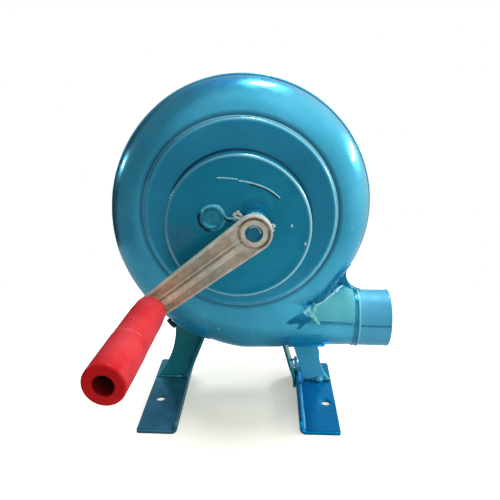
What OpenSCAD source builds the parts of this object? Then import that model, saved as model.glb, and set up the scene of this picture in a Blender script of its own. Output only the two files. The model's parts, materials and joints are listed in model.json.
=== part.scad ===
// Hand crank forge blower: pressed spiral casing, two-stage gear train, radial fan, crank with turning grip.
// X runs to the outlet, Y to the back, Z up. The floor is Z = 0 and the fan axis lies above the origin.

/* [Casing] */
// Height of the fan axis above the floor
axis_z = 146; // [140:1:160]
// Radius of the round side of the casing
rim_r = 84.3; // [82:0.1:88]
// How far the centre of the spiral side is shifted from the fan axis
spiral_shift = 9.3; // [8:0.1:10]
// Direction in which the spiral side leaves the round side, in degrees
spiral_start = 130; // [120:1:140]
// Radius of the rounded front and back edges
edge_r = 24; // [22:0.5:25]
// Half the depth of the casing
half_depth = 27; // [26.5:0.1:28]
// Thickness of the casing sheet
sheet = 1.2; // [1:0.1:1.5]
// Radius of the raised front plateau
plateau_r = 60.1; // [58:0.1:60.2]
// Height of the plateau above the front edge
plateau_h = 2.3; // [1.5:0.1:3]
// Radius of the air inlet in the back
inlet_r = 31; // [28:1:33]

/* [Outlet] */
// Outer diameter of the outlet pipe
outlet_d = 40; // [38:0.5:42]
// Distance of the outlet's end from the fan axis
outlet_x = 104; // [100:1:110]
// Length of the outlet pipe piece
outlet_l = 24; // [20:1:26]

/* [Gear cover] */
// Outer radius of the gear cover
cover_r = 44.8; // [44:0.1:46]
// Height of the gear cover above the plateau
cover_h = 15.7; // [15.7:0.1:17]
// Drop of the cover's centre below the fan axis
cover_drop = 3.7; // [3:0.1:4.5]

/* [Gear train] */
// Teeth of the crank gear
crank_teeth = 40;
// Teeth of the idler's pinion
idler_pinion_teeth = 10;
// Teeth of the idler's large gear
idler_teeth = 31;
// Teeth of the fan's pinion
fan_pinion_teeth = 10;
// Module of the first stage
module_1 = 1.0;
// Module of the second stage
module_2 = 0.75;

/* [Crank] */
// Distance from the crank shaft to the handle pin
throw = 75; // [65:1:80]
// Direction of the crank arm at rest, in degrees
crank_angle = 218.1; // [180:1:270]
// Radius of the arm's eye
eye_r = 10.4; // [10:0.1:12]
// Radius of the arm's handle end
arm_end_r = 7.8; // [7:0.1:9]
// Front of the crank arm, measured forward from the middle of the casing
arm_front = 73.7; // [73:0.1:78]
// Length of the grip
grip_l = 82; // [75:1:90]
// Diameter of the grip at its free end
grip_d = 21; // [20:0.5:24]
// Sideways lean of the handle pin in its rivet, in degrees
grip_lean = 3.1; // [0:0.1:4]

/* [Feet] */
// Width of a foot over its lip
foot_w = 28; // [27:0.1:29]
// Distance from the middle to the inner edge of the right foot
right_foot_in = 41.5; // [41:0.1:42]
// Distance from the middle to the inner edge of the left foot
left_foot_in = 40.4; // [40:0.1:40.5]
// Foremost point of the right foot, measured forward
right_foot_front = 49; // [46:1:52]
// Foremost point of the left foot, measured forward
left_foot_front = 52.5; // [46:0.5:56]
// Rearmost point of the feet, measured backward
foot_back = 45.5; // [44:0.5:50]
// Distance from the middle to the right foot's bolt hole
right_hole = 62.4; // [60:0.1:64]
// Distance from the middle to the left foot's bolt hole
left_hole = 58.9; // [57:0.1:60]
// How far the bolt holes lie forward of the middle
hole_y = 12.8; // [8:0.1:16]
// Diameter of the bolt holes
hole_d = 6.8; // [5:0.1:7]

/* [Hidden] */
$fn = 96;
eps = 0.01;
steel = "steelblue";
plated = "silver";

// Casing, as seen from the front: u is to the right of the fan axis, v above it
edge_flat = half_depth - edge_r;
spiral_r = rim_r + spiral_shift;
spiral_u = -spiral_shift * cos(spiral_start);
spiral_v = -spiral_shift * sin(spiral_start);
spiral_end = 270;
spiral_g = 0.05;
overlap = 0.6;
inner_flat_r = 58;
floor_v = spiral_v - spiral_r;
plateau_y = half_depth + plateau_h;
plateau_edge_r = 1.8;
inlet_lip = 5;
lap_w = 4;
lap_gap = 0.05;
lap_t = 1.3;
seam_v = floor_v + 21.7;

// Outlet
pipe_r = outlet_d / 2;
pipe_v = floor_v + pipe_r;
neck_end = outlet_x - outlet_l;
neck_r = pipe_r + 0.9;
neck_crown_u = neck_end - 9;
neck_crown = 3;
neck_zone_u = 22;
fillet_r = 13;
fillet_u = neck_end + 6;
fillet_v = pipe_v + pipe_r + fillet_r;
fillet_w = 12;

// Gear cover and gear positions
cover_u = -0.5;
cover_y = plateau_y + cover_h;
cover_t = 1.5;
cover_edge_r = 2.5;
idler_angle = 167.7;
crank_from_idler = -5;
stage_1 = module_1 * (crank_teeth + idler_pinion_teeth) / 2;
stage_2 = module_2 * (idler_teeth + fan_pinion_teeth) / 2;
idler_at = stage_2 * [cos(idler_angle), sin(idler_angle)];
crank_at = idler_at + stage_1 * [cos(crank_from_idler), sin(crank_from_idler)];
pressure = 25;
addendum = 0.8;
dedendum = 1.05;
backlash = 0.16;
gear_1_front = cover_y - 2.7;
gear_1_w = 5;
gear_2_front = gear_1_front - gear_1_w - 1;
gear_2_w = 4.2;

// Running clearance on the radius, and the gap between fixed pieces
run = 0.04;
fit = 0.02;

// Bearing plate behind the plateau sheet
plate_front = plateau_y - sheet - fit;
plate_t = 3;
plate_back = plate_front - plate_t;
plate_r = 42;
plate_hole_r = 36;
rivet_ring_r = 39;
rivet_r = 1.8;

// Shafts and bushes
crank_shaft_r = 5;
crank_journal_r = 3;
crank_bush_r = 7;
fan_shaft_r = 3;
fan_nose_r = 2;
fan_bush_r = 5.4;
idler_axle_r = 2;
idler_head_r = 7.4;
shaft_front = arm_front - 2.4;
collar_r = 7.9;
collar_front = cover_y + 11;
collar_back = cover_y + 0.5;
cotter_y = cover_y + 4;
cotter_r = 1.2;
cotter_angle = 163.3;
cotter_leg_r = 0.8;
cotter_legs = [[13.2, -3.6, 0], [13.4, 2.2, 0]];

// Crank arm and grip
arm_t = 6.2;
arm_web_t = 3.4;
arm_rim_w = 1.8;
arm_rib_w = 3.6;
arm_ring_r = 8;
arm_back = arm_front - arm_t;
handle_pin_r = 4;
grip_back_d = 19.4;
grip_bore_d = 10;
grip_bore_l = 20;
grip_gap = 1.4;
pin_l = grip_l + grip_gap - grip_bore_l + 0.3;
pin_head_r = 4.6;
pin_head_h = 2.2;
washer_r = 7.5;
washer_t = 0.6;
washer_gap = 0.45;
grip_edge = 0.8;

// Fan
fan_r = 66;
fan_back_y = 19;
fan_disc_t = 1.5;
blade_count = 12;
blade_t = 1.2;
blade_l = 33;
blade_w = 34;
blade_lean = 35;
hub_r = 9;
hub_l = 14;
nut_r = 5.5;
nut_h = 3.5;
bracket_y = half_depth;
bracket_t = 2.5;
bracket_rivet_r = 35;
bracket_arms = [90, 210, 330];
duct_cut_w = 34;
duct_cut_u = 46;
bracket_arm_w = 12;
bracket_boss_r = 12;
shroud_w = 20;

// Feet and legs
foot_t = 2.2;
foot_bend_r = 4.5;
lip_h = 9;
upright_t = 2.5;
upright_y = 18;
upright_top_z = 80;
stay_t = 2;
stay_front = 8;
stay_w = 22;
stay_top_z = 58;
right_stay_top = 23.7;
left_stay_top = 21.5;
saddle_t = 1.6;
saddle_w = 23;
right_saddle_u = 33.5;
left_saddle_u = -50;
left_saddle_w = 28;

// Places a child, drawn in front view, so that it fills the depth from front to back, measured forward
module slab(front, back) {
    translate([0, -back, axis_z]) rotate([90, 0, 0]) linear_extrude(front - back) children();
}

// Turns a half section, drawn as radius and forward distance, about a line along Y at u, v
module turned(u = 0, v = 0, start = 0, sweep = 360) {
    translate([u, 0, axis_z + v]) rotate([90, 0, 0]) rotate([0, 0, start])
        rotate_extrude(angle = sweep) children();
}

// A round bar along Y at u, v
module bar(u, v, r, front, back) {
    slab(front, back) translate([u, v]) circle(r);
}

// Half section of the casing body for an outline radius r, grown by g
module drum_section(r, g) {
    translate([0, -half_depth - g]) square([r - edge_r, 2 * (half_depth + g)]);
    translate([0, -edge_flat]) square([r + g, 2 * edge_flat]);
    intersection() {
        union() {
            translate([r - edge_r, edge_flat]) circle(edge_r + g);
            translate([r - edge_r, -edge_flat]) circle(edge_r + g);
        }
        translate([0, -half_depth - g]) square([r + g, 2 * (half_depth + g)]);
    }
}

module drum(g) {
    turned(0, 0, -90, 90 + spiral_start) drum_section(rim_r, g);
}

module spiral(g) {
    turned(spiral_u, spiral_v, spiral_start, spiral_end - spiral_start)
        drum_section(spiral_r, g + spiral_g);
}

// The channel that leads from the bottom of the spiral to the outlet pipe
module channel(g, past = 0) {
    hull() {
        for (side = [-1, 1])
            translate([spiral_u, side * edge_flat, axis_z + floor_v + edge_r]) rotate([0, 90, 0])
                cylinder(r = edge_r + g, h = eps, $fn = 40);
        translate([neck_crown_u, 0, axis_z + pipe_v + neck_crown]) rotate([0, 90, 0])
            cylinder(r = neck_r + g, h = eps, $fn = 40);
        translate([neck_end - eps + past, 0, axis_z + pipe_v]) rotate([0, 90, 0])
            cylinder(r = neck_r + g, h = eps, $fn = 40);
    }
}

// The part of the channel that the separate neck piece closes
module neck_zone() {
    difference() {
        translate([neck_zone_u, -40, axis_z + seam_v]) cube([neck_end - neck_zone_u + 1, 80, 60]);
        bar(0, 0, rim_r, 50, -50);
    }
}

// Half section of one pressed side of outline radius r, grown by g: a flat face from radius flat_r
// outward, a quarter round and a short straight skirt
module side_section(r, g, flat_r) {
    intersection() {
        translate([r - edge_r, edge_flat]) difference() {
            circle(edge_r + g);
            circle(edge_r + g - sheet);
        }
        translate([r - edge_r, edge_flat]) square([edge_r + g, edge_r + g]);
    }
    translate([flat_r, half_depth + g - sheet]) square([r - edge_r - flat_r, sheet]);
    translate([r + g - sheet, 0]) square([sheet, edge_flat]);
}

// The lap that the back shell's rim throws over the front shell's
module lap_section(r) {
    translate([r - 0.2, 0]) square([lap_t + 0.2, lap_w / 2]);
    translate([r + lap_gap, -lap_w / 2]) square([lap_t - lap_gap, lap_w]);
}

// One pressed half of the casing, drawn with its round edge forward
module half_shell() {
    difference() {
        turned(0, 0, -90, 90 + spiral_start) side_section(rim_r, 0, inner_flat_r);
        translate([spiral_u - 51, -50, 0]) cube([50, 100, axis_z]);
        translate([spiral_u - 2, -duct_cut_w / 2, 0]) cube([duct_cut_u, duct_cut_w, axis_z]);
    }
    turned(spiral_u, spiral_v, spiral_start - overlap, spiral_end - spiral_start + overlap)
        side_section(spiral_r, spiral_g, inner_flat_r - spiral_shift);
}

module front_shell() {
    color(steel) difference() {
        union() {
            half_shell();
            turned() cup_section(plateau_r, plateau_y, half_depth - sheet / 2, sheet, plateau_edge_r);
        }
        bar(0, 0, plateau_r - sheet / 2, half_depth + 0.3, 20);
        bar(cover_u, -cover_drop, plate_hole_r, plateau_y + 1, 20);
    }
}

module rear_shell() {
    color(steel) {
        difference() {
            union() {
                mirror([0, 1, 0]) half_shell();
                turned() translate([inlet_r, -half_depth]) square([plateau_r + 4 - inlet_r, sheet]);
                turned() translate([inlet_r, -half_depth + 0.2]) square([sheet, inlet_lip]);
            }
            for (a = bracket_arms)
                bar(bracket_rivet_r * cos(a), bracket_rivet_r * sin(a), rivet_r + fit, 0, -half_depth - 1);
        }
        mirror([0, 1, 0]) turned(0, 0, -20, 20 + spiral_start) lap_section(rim_r);
        mirror([0, 1, 0]) turned(spiral_u, spiral_v, spiral_start - overlap, 100)
            lap_section(spiral_r + spiral_g);
    }
}

// The trough that carries the air from the spiral to the outlet pipe
module outlet_duct() {
    color(steel) difference() {
        channel(0);
        channel(-sheet, 1);
        drum(0);
        neck_zone();
    }
}

module outlet_neck() {
    color(steel) {
        intersection() {
            difference() {
                channel(0);
                channel(-sheet, 1);
            }
            neck_zone();
        }
        difference() {
            slab(fillet_w / 2, -fillet_w / 2) difference() {
                translate([64, pipe_v + pipe_r - 3]) square([neck_end - 64.5, 30]);
                circle(rim_r);
                translate([fillet_u, fillet_v]) circle(fillet_r);
                translate([fillet_u - fillet_r + 1, fillet_v]) square([60, 60]);
            }
            channel(0);
            translate([60, -20, axis_z - 37]) cube([40, 40, 40]);
        }
    }
}

module outlet_pipe() {
    color(steel) translate([neck_end, 0, axis_z + pipe_v]) rotate([0, 90, 0]) difference() {
        cylinder(r = pipe_r, h = outlet_l);
        translate([0, 0, -1]) cylinder(r = pipe_r - sheet, h = outlet_l + 2);
    }
}

// Half section of a drawn cup with a rounded front edge
module cup_section(r, front, back, t, round_r) {
    difference() {
        union() {
            translate([0, back]) square([r, front - back - round_r]);
            translate([0, back]) square([r - round_r, front - back]);
            translate([r - round_r, front - round_r]) circle(round_r);
        }
        translate([-eps, back - 1]) square([r - t + eps, front - back - t + 1]);
        translate([-10, back - 10]) square([10, 100]);
    }
}

module gear_cover() {
    color(steel) difference() {
        union() {
            turned(cover_u, -cover_drop)
                cup_section(cover_r, cover_y, plateau_y, cover_t, cover_edge_r);
            slab(cover_y + 1, cover_y - 0.5) ridge();
        }
        bar(crank_at[0], crank_at[1], crank_bush_r + fit, cover_y + 3, cover_y - 5);
        bar(idler_at[0], idler_at[1], idler_axle_r + fit, cover_y + 3, cover_y - 5);
    }
}

// The raised lip that links the idler boss with the crank's bush
module ridge() {
    difference() {
        translate(idler_at) circle(idler_head_r + 1.6);
        translate(idler_at) circle(idler_head_r + 0.1);
        translate(idler_at - [20, 40]) square([40, 40]);
    }
    translate(idler_at + [idler_head_r + 0.1, -1.2]) rotate([0, 0, -6]) square([7.6, 1.6]);
}

module bearing_plate() {
    color(plated) difference() {
        bar(cover_u, -cover_drop, plate_r, plate_front, plate_back);
        bar(0, 0, fan_bush_r + fit, plate_front + 1, plate_back - 1);
        bar(crank_at[0], crank_at[1], crank_journal_r + run, plate_front + 1, plate_back - 1);
        bar(idler_at[0], idler_at[1], idler_axle_r + fit, plate_front + 1, plate_back - 1);
        for (a = [45 : 90 : 315])
            bar(cover_u + rivet_ring_r * cos(a), rivet_ring_r * sin(a) - cover_drop, rivet_r + fit,
                plate_front + 1, plate_back - 1);
    }
}

module plate_rivets() {
    color(plated) for (a = [45 : 90 : 315])
        translate([rivet_ring_r * cos(a), 0, rivet_ring_r * sin(a)]) {
            bar(cover_u, -cover_drop, rivet_r, plate_front, plate_back);
            bar(cover_u, -cover_drop, rivet_r * 1.8, plate_back, plate_back - 1.5);
        }
}

module crank_bush() {
    color("goldenrod") difference() {
        bar(crank_at[0], crank_at[1], crank_bush_r, cover_y + 0.3, cover_y - 2.5);
        bar(crank_at[0], crank_at[1], crank_shaft_r + run, cover_y + 1, cover_y - 4);
    }
}

module fan_front_bush() {
    color("goldenrod") difference() {
        union() {
            bar(0, 0, fan_bush_r, plate_front, plate_back);
            bar(0, 0, fan_bush_r + 1, plate_back, plate_back - 3);
        }
        bar(0, 0, fan_shaft_r + run, plate_front + 1, plate_back - 4);
    }
}

module idler_axle() {
    color(steel) {
        bar(idler_at[0], idler_at[1], idler_axle_r, cover_y, plate_back);
        bar(idler_at[0], idler_at[1], idler_head_r, cover_y + 1.4, cover_y);
    }
}

module inlet_bracket() {
    color(steel) difference() {
        slab(-bracket_y, -bracket_y - bracket_t) {
            circle(bracket_boss_r);
            for (a = bracket_arms) rotate([0, 0, a]) {
                translate([0, -bracket_arm_w / 2]) square([bracket_rivet_r, bracket_arm_w]);
                translate([bracket_rivet_r, 0]) circle(bracket_arm_w / 2);
            }
        }
        bar(0, 0, fan_bush_r + fit, 0, -bracket_y - bracket_t - 1);
        for (a = bracket_arms)
            bar(bracket_rivet_r * cos(a), bracket_rivet_r * sin(a), rivet_r + fit,
                0, -bracket_y - bracket_t - 1);
    }
}

module bracket_rivets() {
    color(plated) for (a = bracket_arms)
        translate([bracket_rivet_r * cos(a), 0, bracket_rivet_r * sin(a)]) {
            bar(0, 0, rivet_r, sheet - bracket_y, -bracket_y - bracket_t);
            bar(0, 0, rivet_r * 1.8, -bracket_y - bracket_t, -bracket_y - bracket_t - 1.2);
            bar(0, 0, rivet_r * 1.6, sheet - bracket_y + 1, sheet - bracket_y);
        }
}

module fan_rear_bush() {
    color("goldenrod") difference() {
        union() {
            bar(0, 0, fan_bush_r, -bracket_y + 3, -bracket_y - bracket_t);
            bar(0, 0, fan_bush_r + 1.4, -bracket_y + 3, -bracket_y);
        }
        bar(0, 0, fan_shaft_r + run, -bracket_y + 4, -bracket_y - bracket_t - 1);
    }
}

// Foot of the right-hand side, an angle of sheet steel with its lip on the inner side
module foot(inner, front, hole) {
    bend = inner + foot_bend_r;
    difference() {
        translate([0, foot_back, 0]) rotate([90, 0, 0]) linear_extrude(front + foot_back)
            difference() {
                union() {
                    translate([bend, 0]) square([foot_w - foot_bend_r, foot_t]);
                    translate([bend, foot_bend_r]) circle(foot_bend_r);
                    translate([inner, foot_bend_r]) square([foot_t, lip_h - foot_bend_r]);
                }
                translate([bend, foot_bend_r]) circle(foot_bend_r - foot_t);
                translate([inner + foot_t, foot_bend_r]) square([20, 20]);
                translate([bend, foot_t]) square([20, 20]);
            }
        translate([hole, -hole_y, -1]) cylinder(d = hole_d, h = 5);
    }
}

module left_foot() {
    color(steel) mirror([1, 0, 0]) foot(left_foot_in, left_foot_front, left_hole);
}

module right_foot() {
    color(steel) foot(right_foot_in, right_foot_front, right_hole);
}

// Upright of the right-hand side from its inner and outer ends on the foot and at the top and from its
// waist [x, z], below which the outer edge is flared to the foot
module upright(foot, top, waist) {
    down = waist[1] - foot_t;
    out = foot[1] - waist[0];
    flare_r = (pow(down, 2) + pow(out, 2)) / (2 * out);
    translate([0, upright_y + upright_t, 0]) rotate([90, 0, 0]) linear_extrude(upright_t)
        difference() {
            polygon([
                [foot[0], foot_t], [foot[1], foot_t], [foot[1], waist[1]], waist,
                [top[1], upright_top_z], [top[0], upright_top_z]
            ]);
            translate([waist[0] + flare_r, waist[1]]) circle(flare_r);
        }
}

module left_upright() {
    color(steel) difference() {
        mirror([1, 0, 0]) upright([45.1, 67.2], [15.1, 45.7], [51.5, 45.7]);
        spiral(saddle_t);
        drum(0);
    }
}

module right_upright() {
    color(steel) difference() {
        upright([48.5, 68.8], [23.2, 43.3], [59.2, 27]);
        channel(saddle_t);
        drum(0);
    }
}

// Strip whose edge-on outline is drawn as [x, z]
module strip() {
    translate([0, stay_front + stay_w, 0]) rotate([90, 0, 0]) linear_extrude(stay_w) children();
}

// Stands on the foot's lip and leans to the casing
module left_stay() {
    top = left_stay_top;
    color(steel) difference() {
        mirror([1, 0, 0]) strip() polygon([
            [left_foot_in, lip_h], [left_foot_in + stay_t, lip_h], [top + stay_t, stay_top_z],
            [top, stay_top_z]
        ]);
        spiral(0);
        left_saddle();
    }
}

// Is lapped on the foot's lip and leans to the casing
module right_stay() {
    low = right_foot_in - stay_t;
    top = right_stay_top;
    color(steel) difference() {
        strip() polygon([
            [low, 1], [right_foot_in, 1], [right_foot_in, 6], [top + stay_t, stay_top_z],
            [top, stay_top_z], [low, 6]
        ]);
        channel(0);
        spiral(0);
    }
}

module left_saddle() {
    color(steel) intersection() {
        difference() {
            spiral(saddle_t);
            spiral(0);
        }
        translate([left_saddle_u, -22, 20]) cube([left_saddle_w, 44, 62]);
    }
}

module right_saddle() {
    color(steel) intersection() {
        difference() {
            channel(saddle_t);
            channel(0);
        }
        translate([right_saddle_u, -50, 20]) cube([saddle_w, 100, 38]);
    }
}

// Outline of an involute gear with tooth 0 on the first axis
function involute(base_r, t) = base_r * [cos(t) + t * PI / 180 * sin(t), sin(t) - t * PI / 180 * cos(t)];
function roll(base_r, r) = r > base_r ? sqrt(pow(r / base_r, 2) - 1) * 180 / PI : 0;
function turn(p, a) = [p[0] * cos(a) - p[1] * sin(a), p[0] * sin(a) + p[1] * cos(a)];
function flank(base_r, root_r, tip_r, steps) = concat(
    root_r < base_r ? [[root_r, 0]] : [],
    [for (i = [0 : steps])
        let (r0 = max(root_r, base_r), r = r0 + (tip_r - r0) * i / steps)
        involute(base_r, roll(base_r, r))]);

module gear_outline(teeth, mod) {
    pitch_r = mod * teeth / 2;
    base_r = pitch_r * cos(pressure);
    tip_r = pitch_r + addendum * mod;
    root_r = pitch_r - dedendum * mod;
    pitch_roll = roll(base_r, pitch_r);
    pitch_point = involute(base_r, pitch_roll);
    half = 90 / teeth - backlash / 2 / pitch_r * 180 / PI / 2;
    shift = half + atan2(pitch_point[1], pitch_point[0]);
    side = flank(base_r, root_r, tip_r, 4);
    low = [for (p = side) turn(p, -shift)];
    high = [for (i = [len(side) - 1 : -1 : 0]) [low[i][0], -low[i][1]]];
    tooth = concat(low, high);
    polygon([for (k = [0 : teeth - 1]) for (p = tooth) turn(p, k * 360 / teeth)]);
}

module gear(at, teeth, mod, phase, front, w, bore_r) {
    difference() {
        slab(front, front - w) translate(at) rotate([0, 0, phase]) gear_outline(teeth, mod);
        bar(at[0], at[1], bore_r, front + 1, front - w - 1);
    }
}

module crank_shaft() {
    color(steel) difference() {
        union() {
            bar(crank_at[0], crank_at[1], crank_shaft_r, shaft_front, plate_front + 2);
            bar(crank_at[0], crank_at[1], crank_journal_r, plate_front + 2, plate_back - 0.5);
        }
        at_cotter() cotter_hole();
    }
}

module crank_gear() {
    color(plated) gear(crank_at, crank_teeth, module_1, 180 + crank_from_idler, gear_1_front,
                       gear_1_w, crank_shaft_r + fit);
}

module shaft_collar() {
    color(steel) difference() {
        bar(crank_at[0], crank_at[1], collar_r, collar_front, collar_back);
        bar(crank_at[0], crank_at[1], crank_shaft_r + fit, collar_front + 1, collar_back - 1);
        at_cotter() cotter_hole();
    }
}

// The cotter pin's own frame: its first axis runs along the pin, from the head to the split legs
module at_cotter() {
    translate([crank_at[0], -cotter_y, axis_z + crank_at[1]]) rotate([90, 0, 0])
        rotate([0, 0, cotter_angle]) children();
}

module cotter_hole() {
    translate([-20, 0, 0]) rotate([0, 90, 0]) cylinder(r = cotter_r + fit, h = 40);
}

// A round wire of radius r from one point to another
module wire(from, to, r) {
    d = to - from;
    translate(from) rotate([0, 0, atan2(d[1], d[0])]) rotate([0, 90, 0]) cylinder(r = r, h = norm(d));
}

module cotter_pin() {
    color("tan") at_cotter() {
        translate([-collar_r - 0.6, 0, 0]) rotate([0, 90, 0])
            cylinder(r = cotter_r, h = 2 * collar_r + 1.4);
        translate([-collar_r - 2.2, 0, -cotter_r]) difference() {
            cylinder(r = 2.4, h = 2 * cotter_r);
            translate([0, 0, -1]) cylinder(r = 1.1, h = 5);
        }
        for (leg = cotter_legs) wire([collar_r - 0.4, 0.02 * leg[1], 0], leg, cotter_leg_r);
    }
}

// Outline of the crank arm, grown by g, along its own first axis
module arm_outline(g) {
    b = acos((eye_r - arm_end_r) / throw);
    circle(eye_r + g);
    translate([throw, 0]) circle(arm_end_r + g);
    polygon([
        (eye_r + g) * [cos(b), sin(b)], (eye_r + g) * [cos(b), -sin(b)],
        [throw, 0] + (arm_end_r + g) * [cos(b), -sin(b)], [throw, 0] + (arm_end_r + g) * [cos(b), sin(b)]
    ]);
}

module at_arm(front, back) {
    slab(front, back) translate(crank_at) rotate([0, 0, crank_angle]) children();
}

// The handle pin's own frame: Z runs forward from the front of the arm along the pin
module at_handle() {
    translate([crank_at[0] + throw * cos(crank_angle), -arm_front,
               axis_z + crank_at[1] + throw * sin(crank_angle)])
        rotate([0, 0, -grip_lean]) rotate([90, 0, 0]) children();
}

module crank_arm() {
    color(plated) difference() {
        union() {
            at_arm(arm_back + arm_web_t, arm_back) arm_outline(0);
            at_arm(arm_front, arm_back) difference() {
                arm_outline(0);
                arm_outline(-arm_rim_w);
            }
            at_arm(arm_front - 0.4, arm_back) {
                circle(arm_ring_r);
                translate([throw, 0]) circle(arm_end_r - 0.5);
                translate([0, -arm_rib_w / 2]) square([throw, arm_rib_w]);
            }
        }
        bar(crank_at[0], crank_at[1], crank_shaft_r + fit, arm_front + 1, arm_back - 1);
        at_handle() translate([0, 0, -arm_t - 2]) cylinder(r = handle_pin_r + fit, h = arm_t + 4);
    }
}

module handle_pin() {
    color(plated) at_handle() {
        translate([0, 0, -arm_t - 0.6]) cylinder(r = handle_pin_r, h = arm_t + 0.6 + pin_l);
        translate([0, 0, pin_l]) cylinder(r = pin_head_r, h = pin_head_h);
    }
}

module handle_washer() {
    color(plated) at_handle() translate([0, 0, washer_gap]) difference() {
        cylinder(r = washer_r, h = washer_t);
        translate([0, 0, -1]) cylinder(r = handle_pin_r + fit, h = 5);
    }
}

module grip() {
    color("red") at_handle() translate([0, 0, grip_gap]) difference() {
        rotate_extrude() {
            polygon([
                [0, 0], [grip_back_d / 2 - grip_edge, 0], [grip_back_d / 2, grip_edge],
                [grip_d / 2, grip_l - grip_edge], [grip_d / 2 - grip_edge, grip_l], [0, grip_l]
            ]);
        }
        translate([0, 0, -1]) cylinder(r = handle_pin_r + run, h = grip_l + 2);
        translate([0, 0, grip_l - grip_bore_l]) cylinder(d = grip_bore_d, h = grip_bore_l + 1);
    }
}

module idler_pinion() {
    color(plated) gear(idler_at, idler_pinion_teeth, module_1,
                       crank_from_idler + 180 / idler_pinion_teeth, gear_1_front + 0.5,
                       gear_1_front + 0.5 - gear_2_front, idler_axle_r + run);
}

module idler_gear() {
    color(plated) gear(idler_at, idler_teeth, module_2, idler_angle + 180, gear_2_front, gear_2_w,
                       idler_axle_r + run);
}

module fan_shaft() {
    color(plated) {
        bar(0, 0, fan_nose_r, gear_2_front - 0.3, gear_2_front - gear_2_w - 0.7);
        bar(0, 0, fan_shaft_r, gear_2_front - gear_2_w - 0.7, -bracket_y - bracket_t - 4);
    }
}

module fan_pinion() {
    color(plated) gear([0, 0], fan_pinion_teeth, module_2, idler_angle + 180 / fan_pinion_teeth,
                       gear_2_front - 0.3, gear_2_w - 0.3, fan_nose_r + fit);
}

module fan_hub() {
    color(plated) difference() {
        union() {
            bar(0, 0, hub_r, fan_back_y - fan_disc_t, fan_back_y - fan_disc_t - hub_l);
            bar(0, 0, hub_r - 2, fan_back_y + 0.8, fan_back_y - fan_disc_t);
        }
        bar(0, 0, fan_shaft_r + fit, 30, -10);
    }
}

module fan_disc() {
    color("lightsteelblue") difference() {
        bar(0, 0, fan_r, fan_back_y, fan_back_y - fan_disc_t);
        bar(0, 0, hub_r - 2 + fit, fan_back_y + 1, 0);
    }
}

module fan_blades() {
    color("lightsteelblue") for (k = [0 : blade_count - 1])
        slab(fan_back_y - fan_disc_t, fan_back_y - fan_disc_t - blade_w)
            rotate([0, 0, k * 360 / blade_count]) translate([fan_r - 1, 0]) rotate([0, 0, blade_lean])
                translate([-blade_l, -blade_t / 2]) square([blade_l, blade_t]);
}

module fan_shroud() {
    color("lightsteelblue") difference() {
        bar(0, 0, fan_r, fan_back_y - fan_disc_t - blade_w, fan_back_y - fan_disc_t - blade_w - 1.2);
        bar(0, 0, fan_r - shroud_w, 0, -30);
    }
}

module fan_nut() {
    color(plated) difference() {
        slab(fan_back_y - fan_disc_t - hub_l, fan_back_y - fan_disc_t - hub_l - nut_h)
            circle(r = nut_r, $fn = 6);
        bar(0, 0, fan_shaft_r + fit, 30, -30);
    }
}

front_shell();
rear_shell();
outlet_duct();
outlet_neck();
outlet_pipe();
gear_cover();
bearing_plate();
plate_rivets();
crank_bush();
fan_front_bush();
idler_axle();
inlet_bracket();
bracket_rivets();
fan_rear_bush();
left_foot();
right_foot();
left_upright();
right_upright();
left_stay();
right_stay();
left_saddle();
right_saddle();
crank_shaft();
crank_gear();
shaft_collar();
cotter_pin();
crank_arm();
handle_pin();
handle_washer();
grip();
idler_pinion();
idler_gear();
fan_shaft();
fan_pinion();
fan_hub();
fan_disc();
fan_blades();
fan_shroud();
fan_nut();
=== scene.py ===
"""Looks of a hand crank forge blower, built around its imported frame.

Lengths are in millimetres until a mesh is written. Front-view places are (u, v): u to the right of the
fan axis, v above it. Depths are forward distances f from the middle of the casing, so y = -f. Every
uneven surface has a seed of its own, so that it comes out the same each time.
"""

import json
import math

import bmesh
import bpy
import numpy as np
from mathutils import Matrix, Vector


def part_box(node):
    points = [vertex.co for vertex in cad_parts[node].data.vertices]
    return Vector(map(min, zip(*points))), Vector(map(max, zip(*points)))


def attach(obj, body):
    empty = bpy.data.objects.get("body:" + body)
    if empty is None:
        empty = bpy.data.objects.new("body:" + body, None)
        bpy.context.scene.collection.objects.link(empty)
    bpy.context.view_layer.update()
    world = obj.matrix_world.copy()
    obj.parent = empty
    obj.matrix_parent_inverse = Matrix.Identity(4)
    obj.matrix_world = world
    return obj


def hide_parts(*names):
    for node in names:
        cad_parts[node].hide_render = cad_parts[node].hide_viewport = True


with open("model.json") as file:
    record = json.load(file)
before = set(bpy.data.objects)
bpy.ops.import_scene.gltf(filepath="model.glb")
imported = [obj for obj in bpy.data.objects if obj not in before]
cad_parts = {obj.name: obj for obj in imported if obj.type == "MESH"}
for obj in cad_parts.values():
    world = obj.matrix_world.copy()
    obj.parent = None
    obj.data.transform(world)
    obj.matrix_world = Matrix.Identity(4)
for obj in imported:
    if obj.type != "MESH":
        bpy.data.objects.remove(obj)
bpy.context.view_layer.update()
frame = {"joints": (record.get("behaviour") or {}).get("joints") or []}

# ---------------------------------------------------------------- sizes, from the frame where it holds them

MM = 0.001
JOINTS = {j["name"]: j for j in frame["joints"]}


def mm_box(node):
    """The lowest and highest corners of a frame node, in millimetres."""
    low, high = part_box(node)
    return np.array(low) / MM, np.array(high) / MM


AXIS_Z = JOINTS["fan_turn"]["pos_m"][2] / MM


def axis_place(joint):
    """The front-view place of a joint's axis that runs from front to back."""
    x, _, z = JOINTS[joint]["pos_m"]
    return np.array([x / MM, z / MM - AXIS_Z])


CRANK = axis_place("crank_turn")
IDLER = axis_place("idler_turn")
HANDLE = np.array(JOINTS["grip_spin"]["pos_m"]) / MM
HANDLE_AXIS = np.array(JOINTS["grip_spin"]["axis"])

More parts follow.
